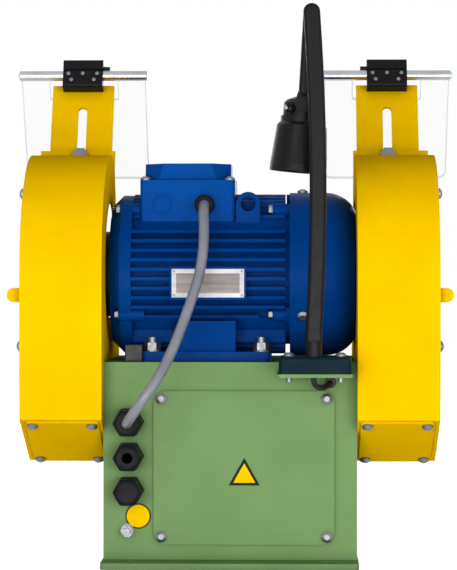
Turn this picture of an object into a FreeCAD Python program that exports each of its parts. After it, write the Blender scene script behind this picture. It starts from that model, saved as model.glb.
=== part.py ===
"""Double-ended bench grinder on a cabinet base, with wheel guards, eye shields and a work lamp.

Millimetres. X runs along the spindle, +Y points to the operator's side, Z is up.
The origin is the centre of the base plate's underside. Pieces that come in pairs are
modelled on the right (+X) and mirrored.
"""
import FreeCAD
import Part
import math
import os

V = FreeCAD.Vector
X_AXIS = V(1, 0, 0)
Y_AXIS = V(0, 1, 0)
Z_AXIS = V(0, 0, 1)

# Fits
FIT = 0.05                # radial clearance of pushed-on pieces and of running shafts
SCREW_PLAY = 0.2          # radial play of a screw or bolt in its hole
SLIDE_PLAY = 0.3          # clearance beside pieces that slide, swing or slip over another
REACH = 400.0             # longer than any piece, for cuts that go right through

# Fasteners: everything else about a bolt follows from its diameter
BOLT = 8.0
SMALL_BOLT = 6.0
SCREW = 5.0
SCREW_LENGTH = 9.0
FLATS_PER_SIZE = 1.63
HEAD_PER_SIZE = 0.66
NUT_PER_SIZE = 0.81
WASHER_PER_SIZE = 0.2
THREAD_TAIL = 5.0

# Base plate and cabinet
CABINET_WIDTH = 230.0
CABINET_DEPTH = 180.0
BED_HEIGHT = 185.0        # top of the cabinet above the floor
CABINET_WALL = 2.0
BED_THICKNESS = 5.0
BASE_THICKNESS = 6.0
BASE_SIDE_LIP = 1.0
BASE_END_LIP = 30.0
BASE_CORNER = 5.0
ANCHOR_SPACING_X = 180.0
ANCHOR_HOLE = 11.0

# Access panel in the rear wall
PANEL_WIDTH = 164.0
PANEL_THICKNESS = 2.0
PANEL_CORNER = 11.0
PANEL_CENTRE_X = 12.6
PANEL_BOTTOM = 20.0
PANEL_DROP = 26.0         # panel's top edge below the bed
PANEL_SCREW_INSET = 7.0
PANEL_LAND = 14.0         # how far the panel overlaps the wall round its opening

# Cable glands and earth stud in the rear wall
GLAND_INSET = 23.5        # glands from the cabinet's left side
GLAND_TOP_Z = 131.0
GLAND_PITCH = 31.0
GLAND_COUNT = 3
GLAND_FLATS = 24.0
GLAND_FLANGE = 8.0
GLAND_DOME = 22.0
GLAND_THREAD = 20.0
GLAND_TAIL = 12.0
GLAND_BORE = 14.0
GLAND_LIP = 2.0           # wall at the dome nut's mouth
GLAND_SWELL = 2.0         # how far the dome bulges over a straight slope
GLAND_STEP = 1.0          # dome nut narrower than its flange
EARTH_INSET = 21.8        # stud from the cabinet's left side
EARTH_Z = 32.4

# Push buttons in the front wall
BUTTON_Z = 120.0
BUTTON_SPACING = 60.0
BUTTON_BARREL = 22.0
BUTTON_COLLAR = 30.0
COLLAR_HEIGHT = 4.0
BUTTON_BLOCK = 30.0       # side of the contact block behind the wall
BUTTON_BLOCK_DEPTH = 34.0
BUTTON_STEM = 12.0
BUTTON_TRAVEL = 4.0
BUTTON_ROOM = 1.0         # room left under the stem when it is pressed
START_CAP = 18.0
START_CAP_HEIGHT = 6.0
STOP_CAP = 36.0
STOP_CAP_HEIGHT = 9.0
CAP_STAND_OFF = 5.0       # underside of a cap above its collar at rest

# Control gear inside the cabinet
GEAR_PLATE = (150.0, 120.0, 2.0)
CONTACTOR = (48.0, 78.0, 70.0)
CONTACTOR_STEP = 42.0     # height of its terminals
CONTACTOR_TOP = 43.0      # depth above the terminals
CONTACTOR_POLES = 3
CONTACTOR_SLOT = 7.0
TRANSFORMER = (60.0, 50.0, 56.0)
YOKE = 9.0                # width of the transformer core's outer limbs
GEAR_GAP = 18.0

# Motor of frame size 80: foot holes 100 by 125, axis 80 above the feet
AXIS_HEIGHT = 80.0
FOOT_SPACING_X = 100.0
FOOT_SPACING_Y = 125.0
FOOT_CENTRE_X = -22.0
FOOT_LENGTH = 117.0
FOOT_DEPTH = 32.0
FOOT_EDGE = 15.5          # bolt centre to the foot's outer edge
FOOT_THICKNESS = 9.0
FOOT_WEB = 53.0
FOOT_WEB_HEIGHT = 28.0
FOOT_WEB_LOW = 4.0        # web inside the foot's edge at the bed
FOOT_WEB_HIGH = 10.0      # and at its top
HOUSING_RIGHT = 50.0
HOUSING_RADIUS = 66.0
HOUSING_BORE = 60.0       # radius
FIN_RADIUS = 75.0
FIN_THICKNESS = 3.0
FIN_PITCH = 8.7
FIN_COUNT = 10
SHIELD_GAP = 3.0          # drive-end shield inside the plane of the left guard
SHIELD_RADIUS = 74.0
SHIELD_DEPTH = 20.5
SHIELD_BEVEL = 10.0
SHIELD_WALL = 7.0
SHIELD_BOLT_RADIUS = 70.0
SHIELD_BOLT_ANGLE = 32.0  # of the first of four bolts, spaced evenly
SHIELD_LUG = 6.0
SHIELD_LUG_LENGTH = 12.0
SHIELD_THREAD = 6.0
SHAFT_ROOM = 1.5          # radial room round the shaft where it passes a shield
FAN_SHIELD_RADIUS = 66.0
FAN_SHIELD_WALL = 8.0
BEARING_RADIUS = 26.0
BEARING_WIDTH = 15.0
HUB_WALL = 6.0
STATOR_LEFT = -66.0
STATOR_RIGHT = 26.0
WINDING_REACH = 14.0
WINDING_INNER = 42.0
WINDING_OUTER = 57.0
AIR_GAP = 0.4

# Nameplate pad on the rear of the housing, bare plate on it
PLATE_WIDTH = 66.0
PLATE_HEIGHT = 26.0
PLATE_THICKNESS = 1.0
PLATE_CENTRE_X = -20.6
PLATE_DROP = 8.4          # plate centre below the axis
PLATE_PAD_Y = 76.5
PLATE_PAD_MARGIN = 2.0

# Lifting lug beside the terminal box
LUG_STEP = 12.1           # lug from the terminal box
LUG_RISE = 65.0
LUG_RADIUS = 11.0
LUG_HOLE = 14.0
LUG_BACK = 46.0
LUG_THICKNESS = 10.0

# Fan and fan cowl
COWL_LEFT = 54.0
COWL_OVERHANG = 3.5       # cowl's end beyond the plane of the right guard
COWL_RADIUS = 76.5
COWL_CORNER = 30.0
COWL_WALL = 1.5
COWL_SLOTS = 10
COWL_SLOT_WIDTH = 7.0
COWL_SLOT_INNER = 24.0
COWL_SHAFT_ROOM = 2.4
COWL_SCREW_X = 66.0
COWL_SCREWS = 3
COWL_LUG_WIDTH = 14.0
COWL_LUG_LENGTH = 16.0
FAN_LEFT = 76.0
FAN_WIDTH = 20.0
FAN_RADIUS = 58.0
FAN_HUB = 20.0
FAN_BLADES = 8
FAN_BLADE = 2.5

# Terminal box, heights above the axis
BOX_INSET = 6.9           # box from the housing's left end
BOX_WIDTH = 88.0
BOX_DEPTH = 90.0
BOX_SKIRT = 43.0
BOX_FLOOR = 70.0
BOX_RIM = 84.0
BOX_WALL = 3.5
BOX_CORNER = 4.0
LID_FLANGE = 3.0
LID_HEIGHT = 18.5
LID_CROWN_INSET = 4.0     # crown inside the flange's edge
LID_CUT_LOW = 12.5        # corner cut of the crown at the flange
LID_CUT_HIGH = 18.0       # corner cut at its top
LID_SCREW_INSET = 5.0
TERMINAL_BLOCK = (44.0, 30.0, 14.0)
BOX_GLAND_X = -24.7
BOX_GLAND_RISE = 64.0
BOX_GLAND_RADIUS = 9.0
BOX_GLAND_LENGTH = 7.0

# Spindle
SHAFT_OVERHANG = 66.0     # shaft's end beyond the cabinet's side
SHAFT_END_RADIUS = 10.0
SHAFT_RADIUS = 12.5
ROTOR_SEAT_RADIUS = 17.0
ROTOR_RADIUS = 37.0
WHEEL_RADIUS = 100.0
WHEEL_WIDTH = 25.0
WHEEL_BORE = 16.0         # radius
WHEEL_STAND_OFF = 33.5    # middle of the wheel beyond the cabinet's side
FLANGE_RADIUS = 40.0
FLANGE_LAND = 10.0        # width of the ring that clamps the wheel
FLANGE_RELIEF = 1.5
HUB_FLANGE = 10.0
OUTER_FLANGE = 7.0
SPINDLE_NUT_FLATS = 30.0
SPINDLE_NUT = 10.0

# Wheel guards
GUARD_RADIUS = 112.0
GUARD_WIDTH = 72.0
GUARD_SHEET = 2.0
COVER_SHEET = 2.0
GUARD_OPENING = 68.0      # radius of the inner plate's hole round the motor end
HOPPER_TOP = 134.0        # height where the rear wall turns into the hopper
HOPPER_BOTTOM = 91.0
HOPPER_FLOOR = 27.0       # half length of the hopper's floor
GUARD_FRONT = 104.0
MOUTH_LOW = 222.0         # height of the front wall's upper edge
MOUTH_TILT = 25.0         # degrees in front of the vertical where the rim ends
LIP_REACH = 130.0         # radius that the lip at the rim's end reaches
LIP_THICKNESS = 3.0
HOPPER_COVER_INSET = 3.0
HOPPER_HOLE_INSET = 20.0
HOPPER_SCREW_INSET = 9.0
COVER_TAB = 28.0
EAR_RADIUS = 6.5
EAR_REACH = 12.5
EAR_THICKNESS = 5.0
EAR_Y = -100.0
EAR_DROP = 19.0           # ear below the axis
GUARD_BOLT_POINTS = ((-62.0, 150.0), (62.0, 150.0), (0.0, 118.0))
COVER_SCREW_POINTS = ((-101.0, 200.0), (93.0, 190.0), (-78.0, 338.0), (0.0, 100.0))

# Shield arms, radii from the spindle axis
ARM_WIDTH = 60.0
ARM_THICKNESS = 4.0
ARM_FOOT = 112.0
ARM_TOP = 204.0
ARM_SLOT_LOW = 116.0
ARM_SLOT_HIGH = 180.0
ARM_BOLT_AT = 124.0
ARM_GAP = 0.1
BLOCK_WIDTH = 39.0
BLOCK_LOW = 196.0
BLOCK_HIGH = 226.0
BLOCK_THICKNESS = 14.0
BLOCK_SLIT = 1.5
BLOCK_ROUND = 2.5
ROD_AT = 211.0
ROD_RADIUS = 5.0
ROD_LENGTH = 126.0
ROD_CHAMFER = 1.0
SHIELD_WIDTH = 122.0
SHIELD_LENGTH = 112.0
SHIELD_SHEET = 3.0
SHIELD_SEAT = 4.0         # depth of the sheet in the rod's slots
SHIELD_NOTCH = 66.0
SHIELD_NOTCH_DEPTH = 24.0
SHIELD_TILT = 30.0
SHIELD_CORNER = 8.0

# Tool rests
REST_WIDTH = 60.0
REST_BACK = 91.0
REST_FRONT = 142.0
REST_THICKNESS = 8.0
REST_DROP = 9.0           # table top below the axis
REST_WHEEL_GAP = 3.0
REST_IN = 1.0             # travel towards the wheel
REST_OUT = 9.0
REST_BOLT_Y = 122.0
REST_ROUND = 4.0
BRACKET_WIDTH = 46.0
BRACKET_LEG = 68.0
BRACKET_LEDGE = 36.0
BRACKET_PLATE = 6.0
BRACKET_BOLT_RISE = 14.0

# Work lamp
SHELF_WIDTH = 67.0
SHELF_DEPTH = 68.0
SHELF_THICKNESS = 3.0
SHELF_DROP = 8.0          # shelf's top below the bed
SHELF_INSET = 38.5        # middle of the shelf from the cabinet's right side
SHELF_CORNER = 4.0
LAMP_BASE_DEPTH = 58.0
LAMP_BASE_HEIGHT = 15.0
LAMP_BASE_MARGIN = 1.5
LAMP_BASE_ROUND = 4.0
LAMP_STEP = 1.0           # swivel to the left of the shelf's middle
LAMP_Y = -146.0
ARM_FOOT_HALF = 7.5       # half width of the lower arm at its foot
ELBOW_HALF = 7.5          # radius of the elbow's knuckle
ELBOW_STEP = 2.0          # elbow to the left of the swivel
LAMP_RISE = 319.0         # elbow above the shelf
LAMP_BOW = 4.5            # how far the lower arm bows to the right
LAMP_ARM_THICKNESS = 11.0
LAMP_ARM_ROUND = 4.0
ARM_RISE = 14.0           # length of the round foot under the lower arm
SWIVEL_PIN = 5.0
SWIVEL_DEPTH = 9.0
JOINT_PIN = 3.0
JOINT_GAP = 0.4
LAMP_HANG = 5.0           # degrees by which the upper arm and head hang to the left
UPPER_ARM_LENGTH = 68.0
UPPER_ARM_HALF = 5.5
HEAD_Y = -108.0
CAP_TOP = 76.0            # distances below the elbow, along the hanging arm
CAP_LENGTH = 20.0
CAP_RADIUS = 18.0
CAP_NECK = 8.0
CAP_CROWN = 3.0           # height of each slope of the cap's top
SHADE_MOUTH = 140.0
SHADE_SHOULDER = 22.5     # radius below the cap
SHADE_RADIUS = 25.5
SHADE_WALL = 1.5
SHADE_LAP = 5.0           # collar over the cap
SHADE_SLOPE = 3.0         # height of the slope from the collar to the shoulder
SHADE_BAND = 6.0          # straight band at the mouth
BULB_BASE = 8.0
BULB_RADIUS = 13.0
BULB_NECK = 10.0
SWITCH_BELOW_CAP = 9.0
SWITCH_BUSH = 4.0
SWITCH_BUSH_LENGTH = 5.0
SWITCH_LEVER = 1.6
SWITCH_LENGTH = 4.5
SWITCH_HOLE = 3.0
SWITCH_KNOB = 2.3         # radius
SWITCH_FLAT = 30.0        # degrees off the lever's axis where its ball and knob are cut flat
SWITCH_STEPS = 2
SWITCH_PIN = 0.8          # radius of the pin that the lever tips on
SWITCH_TURN = 55.0        # degrees of the switch round the cap, from the left towards the rear
BULB_STEPS = 8
GROMMET_RADIUS = 5.0
GROMMET_STEP = 14.5       # grommet to the right of the shelf's middle
GROMMET_DROP = 10.0       # grommet below the shelf's top

# Leads: routes are chosen points, moved so that both ends sit in their holes
MOTOR_LEAD = 9.5
BOX_LEAD_GAP = 1.0        # motor lead's end from the terminal box's wall
GLAND_LEAD_GAP = 24.7     # motor lead's other end from the cabinet's wall
MOTOR_LEAD_ROUTE = (
    (-24.7, -46.0, 329.0), (-24.7, -60.0, 329.0), (-24.5, -76.0, 324.0), (-23.8, -88.0, 312.0),
    (-23.4, -95.5, 296.0), (-24.8, -101.0, 278.0), (-28.2, -106.5, 260.0), (-33.8, -113.0, 242.5),
    (-40.2, -121.0, 224.0), (-47.0, -130.0, 205.0), (-54.5, -139.5, 187.5), (-62.5, -148.5, 172.5),
    (-71.0, -153.7, 160.0), (-79.9, -152.1, 147.4), (-87.3, -143.4, 136.9), (-91.5, -129.7, 131.0),
    (-91.5, -114.7, 131.0))
LAMP_LEAD = 5.0
LAMP_LEAD_STEP = 1.5      # lamp lead's upper end to the left of the shelf's middle
LAMP_LEAD_OUT = 22.0      # behind the cabinet's wall
LAMP_LEAD_RISE = 5.0      # and above the shelf
LAMP_LEAD_IN = 4.0        # its lower end inside the cabinet's wall
LAMP_LEAD_ROUTE = (
    (75.0, -112.0, 182.0), (75.0, -112.0, 171.0), (77.0, -109.5, 164.5), (82.5, -104.0, 162.0),
    (88.5, -98.5, 164.0), (91.0, -92.0, 167.0), (91.0, -86.0, 167.0))
LEAD_ARC_SHARE = 0.45     # share of the shorter run that each tangent arc takes up

# Worked out
AXIS_Z = BED_HEIGHT + AXIS_HEIGHT
REAR = -CABINET_DEPTH / 2
FRONT = CABINET_DEPTH / 2
SIDE = CABINET_WIDTH / 2
GUARD_OUTER = SIDE + GUARD_WIDTH
WHEEL_CENTRE = SIDE + WHEEL_STAND_OFF
SHAFT_END = SIDE + SHAFT_OVERHANG
COWL_RIGHT = SIDE + COWL_OVERHANG
SHIELD_FACE = SHIELD_GAP - SIDE
HOUSING_LEFT = SHIELD_FACE + SHIELD_DEPTH
PANEL_HEIGHT = BED_HEIGHT - PANEL_DROP - PANEL_BOTTOM
PANEL_CENTRE_Z = PANEL_BOTTOM + PANEL_HEIGHT / 2
GLAND_X = GLAND_INSET - SIDE
EARTH_X = EARTH_INSET - SIDE
GLAND_HEIGHTS = [GLAND_TOP_Z - GLAND_PITCH * step for step in range(GLAND_COUNT)]
LEAD_BORE = MOTOR_LEAD / 2 + SLIDE_PLAY / 2
BOX_LEFT = HOUSING_LEFT + BOX_INSET
BOX_RIGHT = BOX_LEFT + BOX_WIDTH
BOX_CENTRE_X = BOX_LEFT + BOX_WIDTH / 2
LUG_X = BOX_RIGHT + LUG_STEP
BOX_BACK = -BOX_DEPTH / 2
WHEEL_INNER = WHEEL_CENTRE - WHEEL_WIDTH / 2
WHEEL_OUTER = WHEEL_CENTRE + WHEEL_WIDTH / 2
SHOULDER = WHEEL_INNER - HUB_FLANGE
FAN_SHIELD_FACE = HOUSING_RIGHT + FAN_SHIELD_WALL
REST_TOP = AXIS_Z - REST_DROP
LEDGE_TOP = REST_TOP - REST_THICKNESS
SHELF_TOP = BED_HEIGHT - SHELF_DROP
SHELF_CENTRE_X = SIDE - SHELF_INSET
LAMP_X = SHELF_CENTRE_X - LAMP_STEP
ELBOW_X = LAMP_X - ELBOW_STEP
GROMMET_X = SHELF_CENTRE_X + GROMMET_STEP
LAMP_LEAD_X = SHELF_CENTRE_X - LAMP_LEAD_STEP
LAMP_BASE_TOP = SHELF_TOP + LAMP_BASE_HEIGHT
ELBOW_Z = SHELF_TOP + LAMP_RISE
GROMMET_Z = SHELF_TOP - GROMMET_DROP
CAP_END = CAP_TOP + CAP_LENGTH
SHELF_REAR = REAR - SHELF_DEPTH
ROD_OFFSET = -BLOCK_THICKNESS / 2


def box(x, y, z):
    """Block between the pairs of limits x, y and z."""
    size = [max(pair) - min(pair) for pair in (x, y, z)]
    return Part.makeBox(*size, V(min(x), min(y), min(z)))


def centred(middle, width):
    """Pair of limits of the given width about a middle."""
    return (middle - width / 2, middle + width / 2)


def rod(radius, start, end):
    """Cylinder from one point to another."""
    return Part.makeCylinder(radius, (end - start).Length, start, end - start)


def tube(outer, inner, start, end):
    """Hollow cylinder from one point to another."""
    return rod(outer, start, end).cut(rod(inner, start, end))


def placed(shape, position, direction):
    """Shape made along +Z at the origin, moved so that +Z points along direction."""
    shape.Placement = FreeCAD.Placement(position, FreeCAD.Rotation(Z_AXIS, direction))
    return shape


def hexagon(flats, height):
    """Hexagonal prism on the XY plane, by its width across flats."""
    corner = flats / math.sqrt(3)
    angles = [math.radians(60 * step) for step in range(7)]
    outline = Part.makePolygon([V(corner * math.cos(a), corner * math.sin(a), 0) for a in angles])
    return Part.Face(outline).extrude(V(0, 0, height))


def prism(points, depth):
    """Flat outline through the given points, extruded by the vector depth."""
    return Part.Face(Part.makePolygon(list(points) + [points[0]])).extrude(depth)


def turned(profile, y=0.0, z=None):
    """Solid of revolution from (x, radius) corners, about the spindle axis or another line along X."""
    height = AXIS_Z if z is None else z
    points = [V(x, y, height + radius) for x, radius in profile]
    face = Part.Face(Part.makePolygon(points + points[:1]))
    return face.revolve(V(0, y, height), X_AXIS, 360)


def rounded(shape, radius, axis):
    """Rounds a block's edges that run along one axis."""
    edges = [edge for edge in shape.Edges if abs(edge.tangentAt(edge.FirstParameter).dot(axis)) > 0.999]
    return shape.makeFillet(radius, edges)


def mirrored(shape):
    """The left-hand copy of a right-hand piece."""
    return shape.mirror(V(0, 0, 0), X_AXIS)


def pair(shapes):
    """Right-hand solids with their left-hand copies."""
    return list(shapes) + [mirrored(shape) for shape in shapes]


def fused(first, *others):
    """One solid from overlapping shapes."""
    return first.fuse(list(others)).removeSplitter()


def around_axis(x, radius, angle):
    """Point at a radius from the spindle axis; the angle is counted from +Y up towards +Z."""
    turn = math.radians(angle)
    return V(x, radius * math.cos(turn), AXIS_Z + radius * math.sin(turn))


def pan_screw(seat, direction, length=SCREW_LENGTH):
    """Pan-head screw whose head stands on the seat and whose shank goes the other way."""
    radius = SCREW / 2
    head = SCREW * HEAD_PER_SIZE
    corners = ((0, -length), (radius, -length), (radius, 0), (SCREW, 0), (SCREW, head / 2), (radius, head),
               (0, head))
    outline = Part.makePolygon([V(r, 0, z) for r, z in corners + corners[:1]])
    screw = Part.Face(outline).revolve(V(0, 0, 0), Z_AXIS, 360)
    return placed(screw, seat, direction)


def hex_bolt(seat, direction, length, size=BOLT):
    """Hexagon bolt whose head stands on the seat and whose shank goes the other way."""
    head = hexagon(size * FLATS_PER_SIZE, size * HEAD_PER_SIZE)
    return placed(fused(head, rod(size / 2, V(0, 0, -length), V(0, 0, 0))), seat, direction)


def washer(seat, direction, size=BOLT):
    """Flat washer lying on the seat."""
    ring = tube(size, size / 2 + FIT, V(0, 0, 0), V(0, 0, size * WASHER_PER_SIZE))
    return placed(ring, seat, direction)


def hex_nut(seat, direction, size=BOLT):
    """Hexagon nut standing on the seat."""
    height = size * NUT_PER_SIZE
    nut = hexagon(size * FLATS_PER_SIZE, height).cut(rod(size / 2 + FIT, V(0, 0, 0), V(0, 0, height)))
    return placed(nut, seat, direction)


def bolt_hole(point, direction, size=BOLT):
    """Cutter for a bolt's clearance hole, long both ways along the direction."""
    reach = V(direction) * (size * 4)
    return rod(size / 2 + SCREW_PLAY, point - reach, point + reach)


def fitted(route, start, end):
    """Route moved to begin at start and finish at end, each point by its share of the two moves."""
    points = [V(*point) for point in route]
    first = start - points[0]
    last = end - points[-1]
    runs = len(points) - 3
    moved = []
    for index, point in enumerate(points):
        share = min(max((index - 1) / runs, 0.0), 1.0)
        moved.append(point + first * (1 - share) + last * share)
    return moved


def lead(points, diameter):
    """Round lead of straight runs joined by tangent arcs; prints its radii and volume ratio."""
    edges = []
    radii = []
    last = points[0]
    for before, corner, after in zip(points, points[1:], points[2:]):
        incoming = (corner - before).normalize()
        outgoing = (after - corner).normalize()
        half_turn = incoming.getAngle(outgoing) / 2
        reach = LEAD_ARC_SHARE * min((corner - before).Length, (after - corner).Length)
        radii.append(reach / math.tan(half_turn))
        bisector = (outgoing - incoming).normalize()
        middle = corner + bisector * (radii[-1] * (1 / math.cos(half_turn) - 1))
        arc_start = corner - incoming * reach
        arc_end = corner + outgoing * reach
        edges.append(Part.LineSegment(last, arc_start).toShape())
        edges.append(Part.Arc(arc_start, middle, arc_end).toShape())
        last = arc_end
    edges.append(Part.LineSegment(last, points[-1]).toShape())
    path = Part.Wire(edges)
    section = Part.Wire(Part.makeCircle(diameter / 2, points[0], points[1] - points[0]))
    solid = path.makePipeShell([section], True, True)
    expected = math.pi * diameter ** 2 / 4 * path.Length
    print("lead length", round(path.Length, 1), "radii", [round(radius, 1) for radius in radii],
          "volume ratio", round(solid.Volume / expected, 4))
    return solid


# Base plate and cabinet

def base_plate():
    """Floor plate with a lip and two anchor holes at the front and the rear."""
    half_depth = CABINET_DEPTH / 2 + BASE_END_LIP
    plate = box(centred(0, CABINET_WIDTH + 2 * BASE_SIDE_LIP), (-half_depth, half_depth), (0, BASE_THICKNESS))
    plate = rounded(plate, BASE_CORNER, Z_AXIS)
    for x in centred(0, ANCHOR_SPACING_X):
        for y in centred(0, CABINET_DEPTH + BASE_END_LIP):
            plate = plate.cut(rod(ANCHOR_HOLE / 2, V(x, y, -1), V(x, y, BASE_THICKNESS + 1)))
    return plate


def foot_bolt_points():
    """Plan positions of the four motor foot bolts."""
    return [(x, y) for x in centred(FOOT_CENTRE_X, FOOT_SPACING_X) for y in centred(0, FOOT_SPACING_Y)]


def panel_screw_points():
    """Positions of the access panel's screws on the rear wall."""
    width = PANEL_WIDTH - 2 * PANEL_SCREW_INSET
    height = PANEL_HEIGHT - 2 * PANEL_SCREW_INSET
    return [(x, z) for x in centred(PANEL_CENTRE_X, width) for z in centred(PANEL_CENTRE_Z, height)]


def cabinet_shell():
    """Folded and welded cabinet: four walls under a thicker motor bed."""
    outside = box(centred(0, CABINET_WIDTH), (REAR, FRONT), (BASE_THICKNESS, BED_HEIGHT))
    inside = box(centred(0, CABINET_WIDTH - 2 * CABINET_WALL), (REAR + CABINET_WALL, FRONT - CABINET_WALL),
                 (BASE_THICKNESS, BED_HEIGHT - BED_THICKNESS))
    opening = box(centred(PANEL_CENTRE_X, PANEL_WIDTH - 2 * PANEL_LAND), centred(REAR, 4 * CABINET_WALL),
                  centred(PANEL_CENTRE_Z, PANEL_HEIGHT - 2 * PANEL_LAND))
    cutters = [inside, opening]
    for x, z in panel_screw_points():
        cutters.append(bolt_hole(V(x, REAR, z), Y_AXIS, SCREW))
    for z in GLAND_HEIGHTS:
        wall = V(GLAND_X, REAR - 1, z)
        cutters.append(rod(GLAND_THREAD / 2 + FIT, wall, wall + Y_AXIS * (CABINET_WALL + 2)))
    cutters.append(bolt_hole(V(EARTH_X, REAR, EARTH_Z), Y_AXIS, SMALL_BOLT))
    grommet = V(GROMMET_X, REAR, GROMMET_Z)
    cutters.append(rod(LAMP_LEAD / 2 + SLIDE_PLAY, grommet, grommet + Y_AXIS * 2 * CABINET_WALL))
    for x in centred(0, BUTTON_SPACING):
        wall = V(x, FRONT - CABINET_WALL - 1, BUTTON_Z)
        cutters.append(rod(BUTTON_BARREL / 2 + FIT, wall, wall + Y_AXIS * (CABINET_WALL + 2)))
    for x, y in foot_bolt_points():
        cutters.append(bolt_hole(V(x, y, BED_HEIGHT), Z_AXIS))
    for y, z in GUARD_BOLT_POINTS:
        cutters += [bolt_hole(V(x, y, z), X_AXIS) for x in (-SIDE, SIDE)]
    return outside.cut(cutters)


def access_panel():
    """Flat cover over the opening in the rear wall."""
    panel = box(centred(PANEL_CENTRE_X, PANEL_WIDTH), (REAR - PANEL_THICKNESS, REAR),
                centred(PANEL_CENTRE_Z, PANEL_HEIGHT))
    panel = rounded(panel, PANEL_CORNER, Y_AXIS)
    return panel.cut([bolt_hole(V(x, REAR, z), Y_AXIS, SCREW) for x, z in panel_screw_points()])


def lamp_screw_points():
    """Plan positions of the two screws that hold the lamp's base on its shelf."""
    width = SHELF_WIDTH - 2 * (LAMP_BASE_MARGIN + SCREW + LAMP_BASE_ROUND)
    return [(x, SHELF_REAR + LAMP_BASE_DEPTH / 2) for x in centred(SHELF_CENTRE_X, width)]


def cabinet_screws():
    """Screws of the access panel and of the lamp's base."""
    screws = [pan_screw(V(x, REAR - PANEL_THICKNESS, z), -Y_AXIS) for x, z in panel_screw_points()]
    length = LAMP_BASE_HEIGHT + SHELF_THICKNESS + THREAD_TAIL
    screws += [pan_screw(V(x, y, LAMP_BASE_TOP), Z_AXIS, length) for x, y in lamp_screw_points()]
    return screws


def cable_glands():
    """Gland bodies: a hexagonal flange outside and a threaded tail through the wall."""
    bodies = []
    for z in GLAND_HEIGHTS:
        wall = V(GLAND_X, REAR, z)
        flange = placed(hexagon(GLAND_FLATS, GLAND_FLANGE), wall, -Y_AXIS)
        tail = rod(GLAND_THREAD / 2, wall, wall + Y_AXIS * GLAND_TAIL)
        bore = rod(GLAND_BORE / 2, wall - Y_AXIS * GLAND_FLANGE, wall + Y_AXIS * GLAND_TAIL)
        bodies.append(fused(flange, tail).cut(bore))
    return bodies


def gland_dome(z, open_bore):
    """Dome nut on a gland's flange: hexagonal below, rounded towards its mouth."""
    height = GLAND_DOME
    corner = GLAND_FLATS / math.sqrt(3)
    mouth = GLAND_BORE / 2 + GLAND_LIP
    foot = V(0, 0, 0)
    side = V(corner, 0, 0)
    shoulder = V(corner, 0, height / 2)
    rim = V(mouth, 0, height)
    swell = (shoulder + rim) / 2 + (X_AXIS + Z_AXIS) * GLAND_SWELL
    edges = Part.makePolygon([foot, side, shoulder]).Edges
    edges.append(Part.Arc(shoulder, swell, rim).toShape())
    edges += Part.makePolygon([rim, V(0, 0, height), foot]).Edges
    round_form = Part.Face(Part.Wire(edges)).revolve(foot, Z_AXIS, 360)
    dome = round_form.common(hexagon(GLAND_FLATS - GLAND_STEP, height))
    if open_bore:
        dome = dome.cut(rod(LEAD_BORE, V(0, 0, -1), V(0, 0, height + 1)))
    return placed(dome, V(GLAND_X, REAR - GLAND_FLANGE, z), -Y_AXIS)


def gland_nuts():
    """Dome nuts outside, the lowest one blanked off, and lock nuts inside."""
    nuts = [gland_dome(z, z != GLAND_HEIGHTS[-1]) for z in GLAND_HEIGHTS]
    thickness = GLAND_TAIL / 2
    for z in GLAND_HEIGHTS:
        bore = rod(GLAND_THREAD / 2 + FIT, V(0, 0, 0), V(0, 0, thickness))
        ring = hexagon(GLAND_FLATS, thickness).cut(bore)
        nuts.append(placed(ring, V(GLAND_X, REAR + CABINET_WALL, z), Y_AXIS))
    return nuts


def earth_stud():
    """Earth bolt through the rear wall with a washer and a nut outside."""
    inside = V(EARTH_X, REAR + CABINET_WALL, EARTH_Z)
    outside = V(EARTH_X, REAR, EARTH_Z)
    ring = SMALL_BOLT * WASHER_PER_SIZE
    length = CABINET_WALL + ring + SMALL_BOLT * NUT_PER_SIZE + THREAD_TAIL
    return [hex_bolt(inside, Y_AXIS, length, SMALL_BOLT), washer(outside, -Y_AXIS, SMALL_BOLT),
            hex_nut(outside - Y_AXIS * ring, -Y_AXIS, SMALL_BOLT)]


def gear_plate():
    """Plate on the cabinet floor that carries the control gear."""
    width, depth, thickness = GEAR_PLATE
    return box(centred(0, width), centred(0, depth), (BASE_THICKNESS, BASE_THICKNESS + thickness))


def contactor():
    """Motor starter: a stepped block with a row of terminal slots along each side."""
    width, depth, height = CONTACTOR
    floor = BASE_THICKNESS + GEAR_PLATE[2]
    middle = -(TRANSFORMER[0] + GEAR_GAP) / 2
    block = box(centred(middle, width), centred(0, depth), (floor, floor + CONTACTOR_STEP))
    top = box(centred(middle, width), centred(0, CONTACTOR_TOP), (floor, floor + height))
    body = fused(block, top)
    span = (floor + CONTACTOR_STEP / 2, floor + height)
    for low, high in slabs(CONTACTOR_POLES, width / CONTACTOR_POLES, CONTACTOR_SLOT):
        for y in (-depth / 2, depth / 2):
            body = body.cut(box((middle + low, middle + high), centred(y, 2 * CONTACTOR_SLOT), span))
    return body


def lamp_transformer():
    """Low-voltage transformer: a laminated core with its coil round the middle limb."""
    width, depth, height = TRANSFORMER
    floor = BASE_THICKNESS + GEAR_PLATE[2]
    middle = (CONTACTOR[0] + GEAR_GAP) / 2
    core = box(centred(middle, width), centred(0, depth / 2), (floor, floor + height))
    coil = box(centred(middle, width - 2 * YOKE), centred(0, depth), (floor + YOKE, floor + height - YOKE))
    return fused(core, rounded(coil, YOKE, Z_AXIS))


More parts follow.
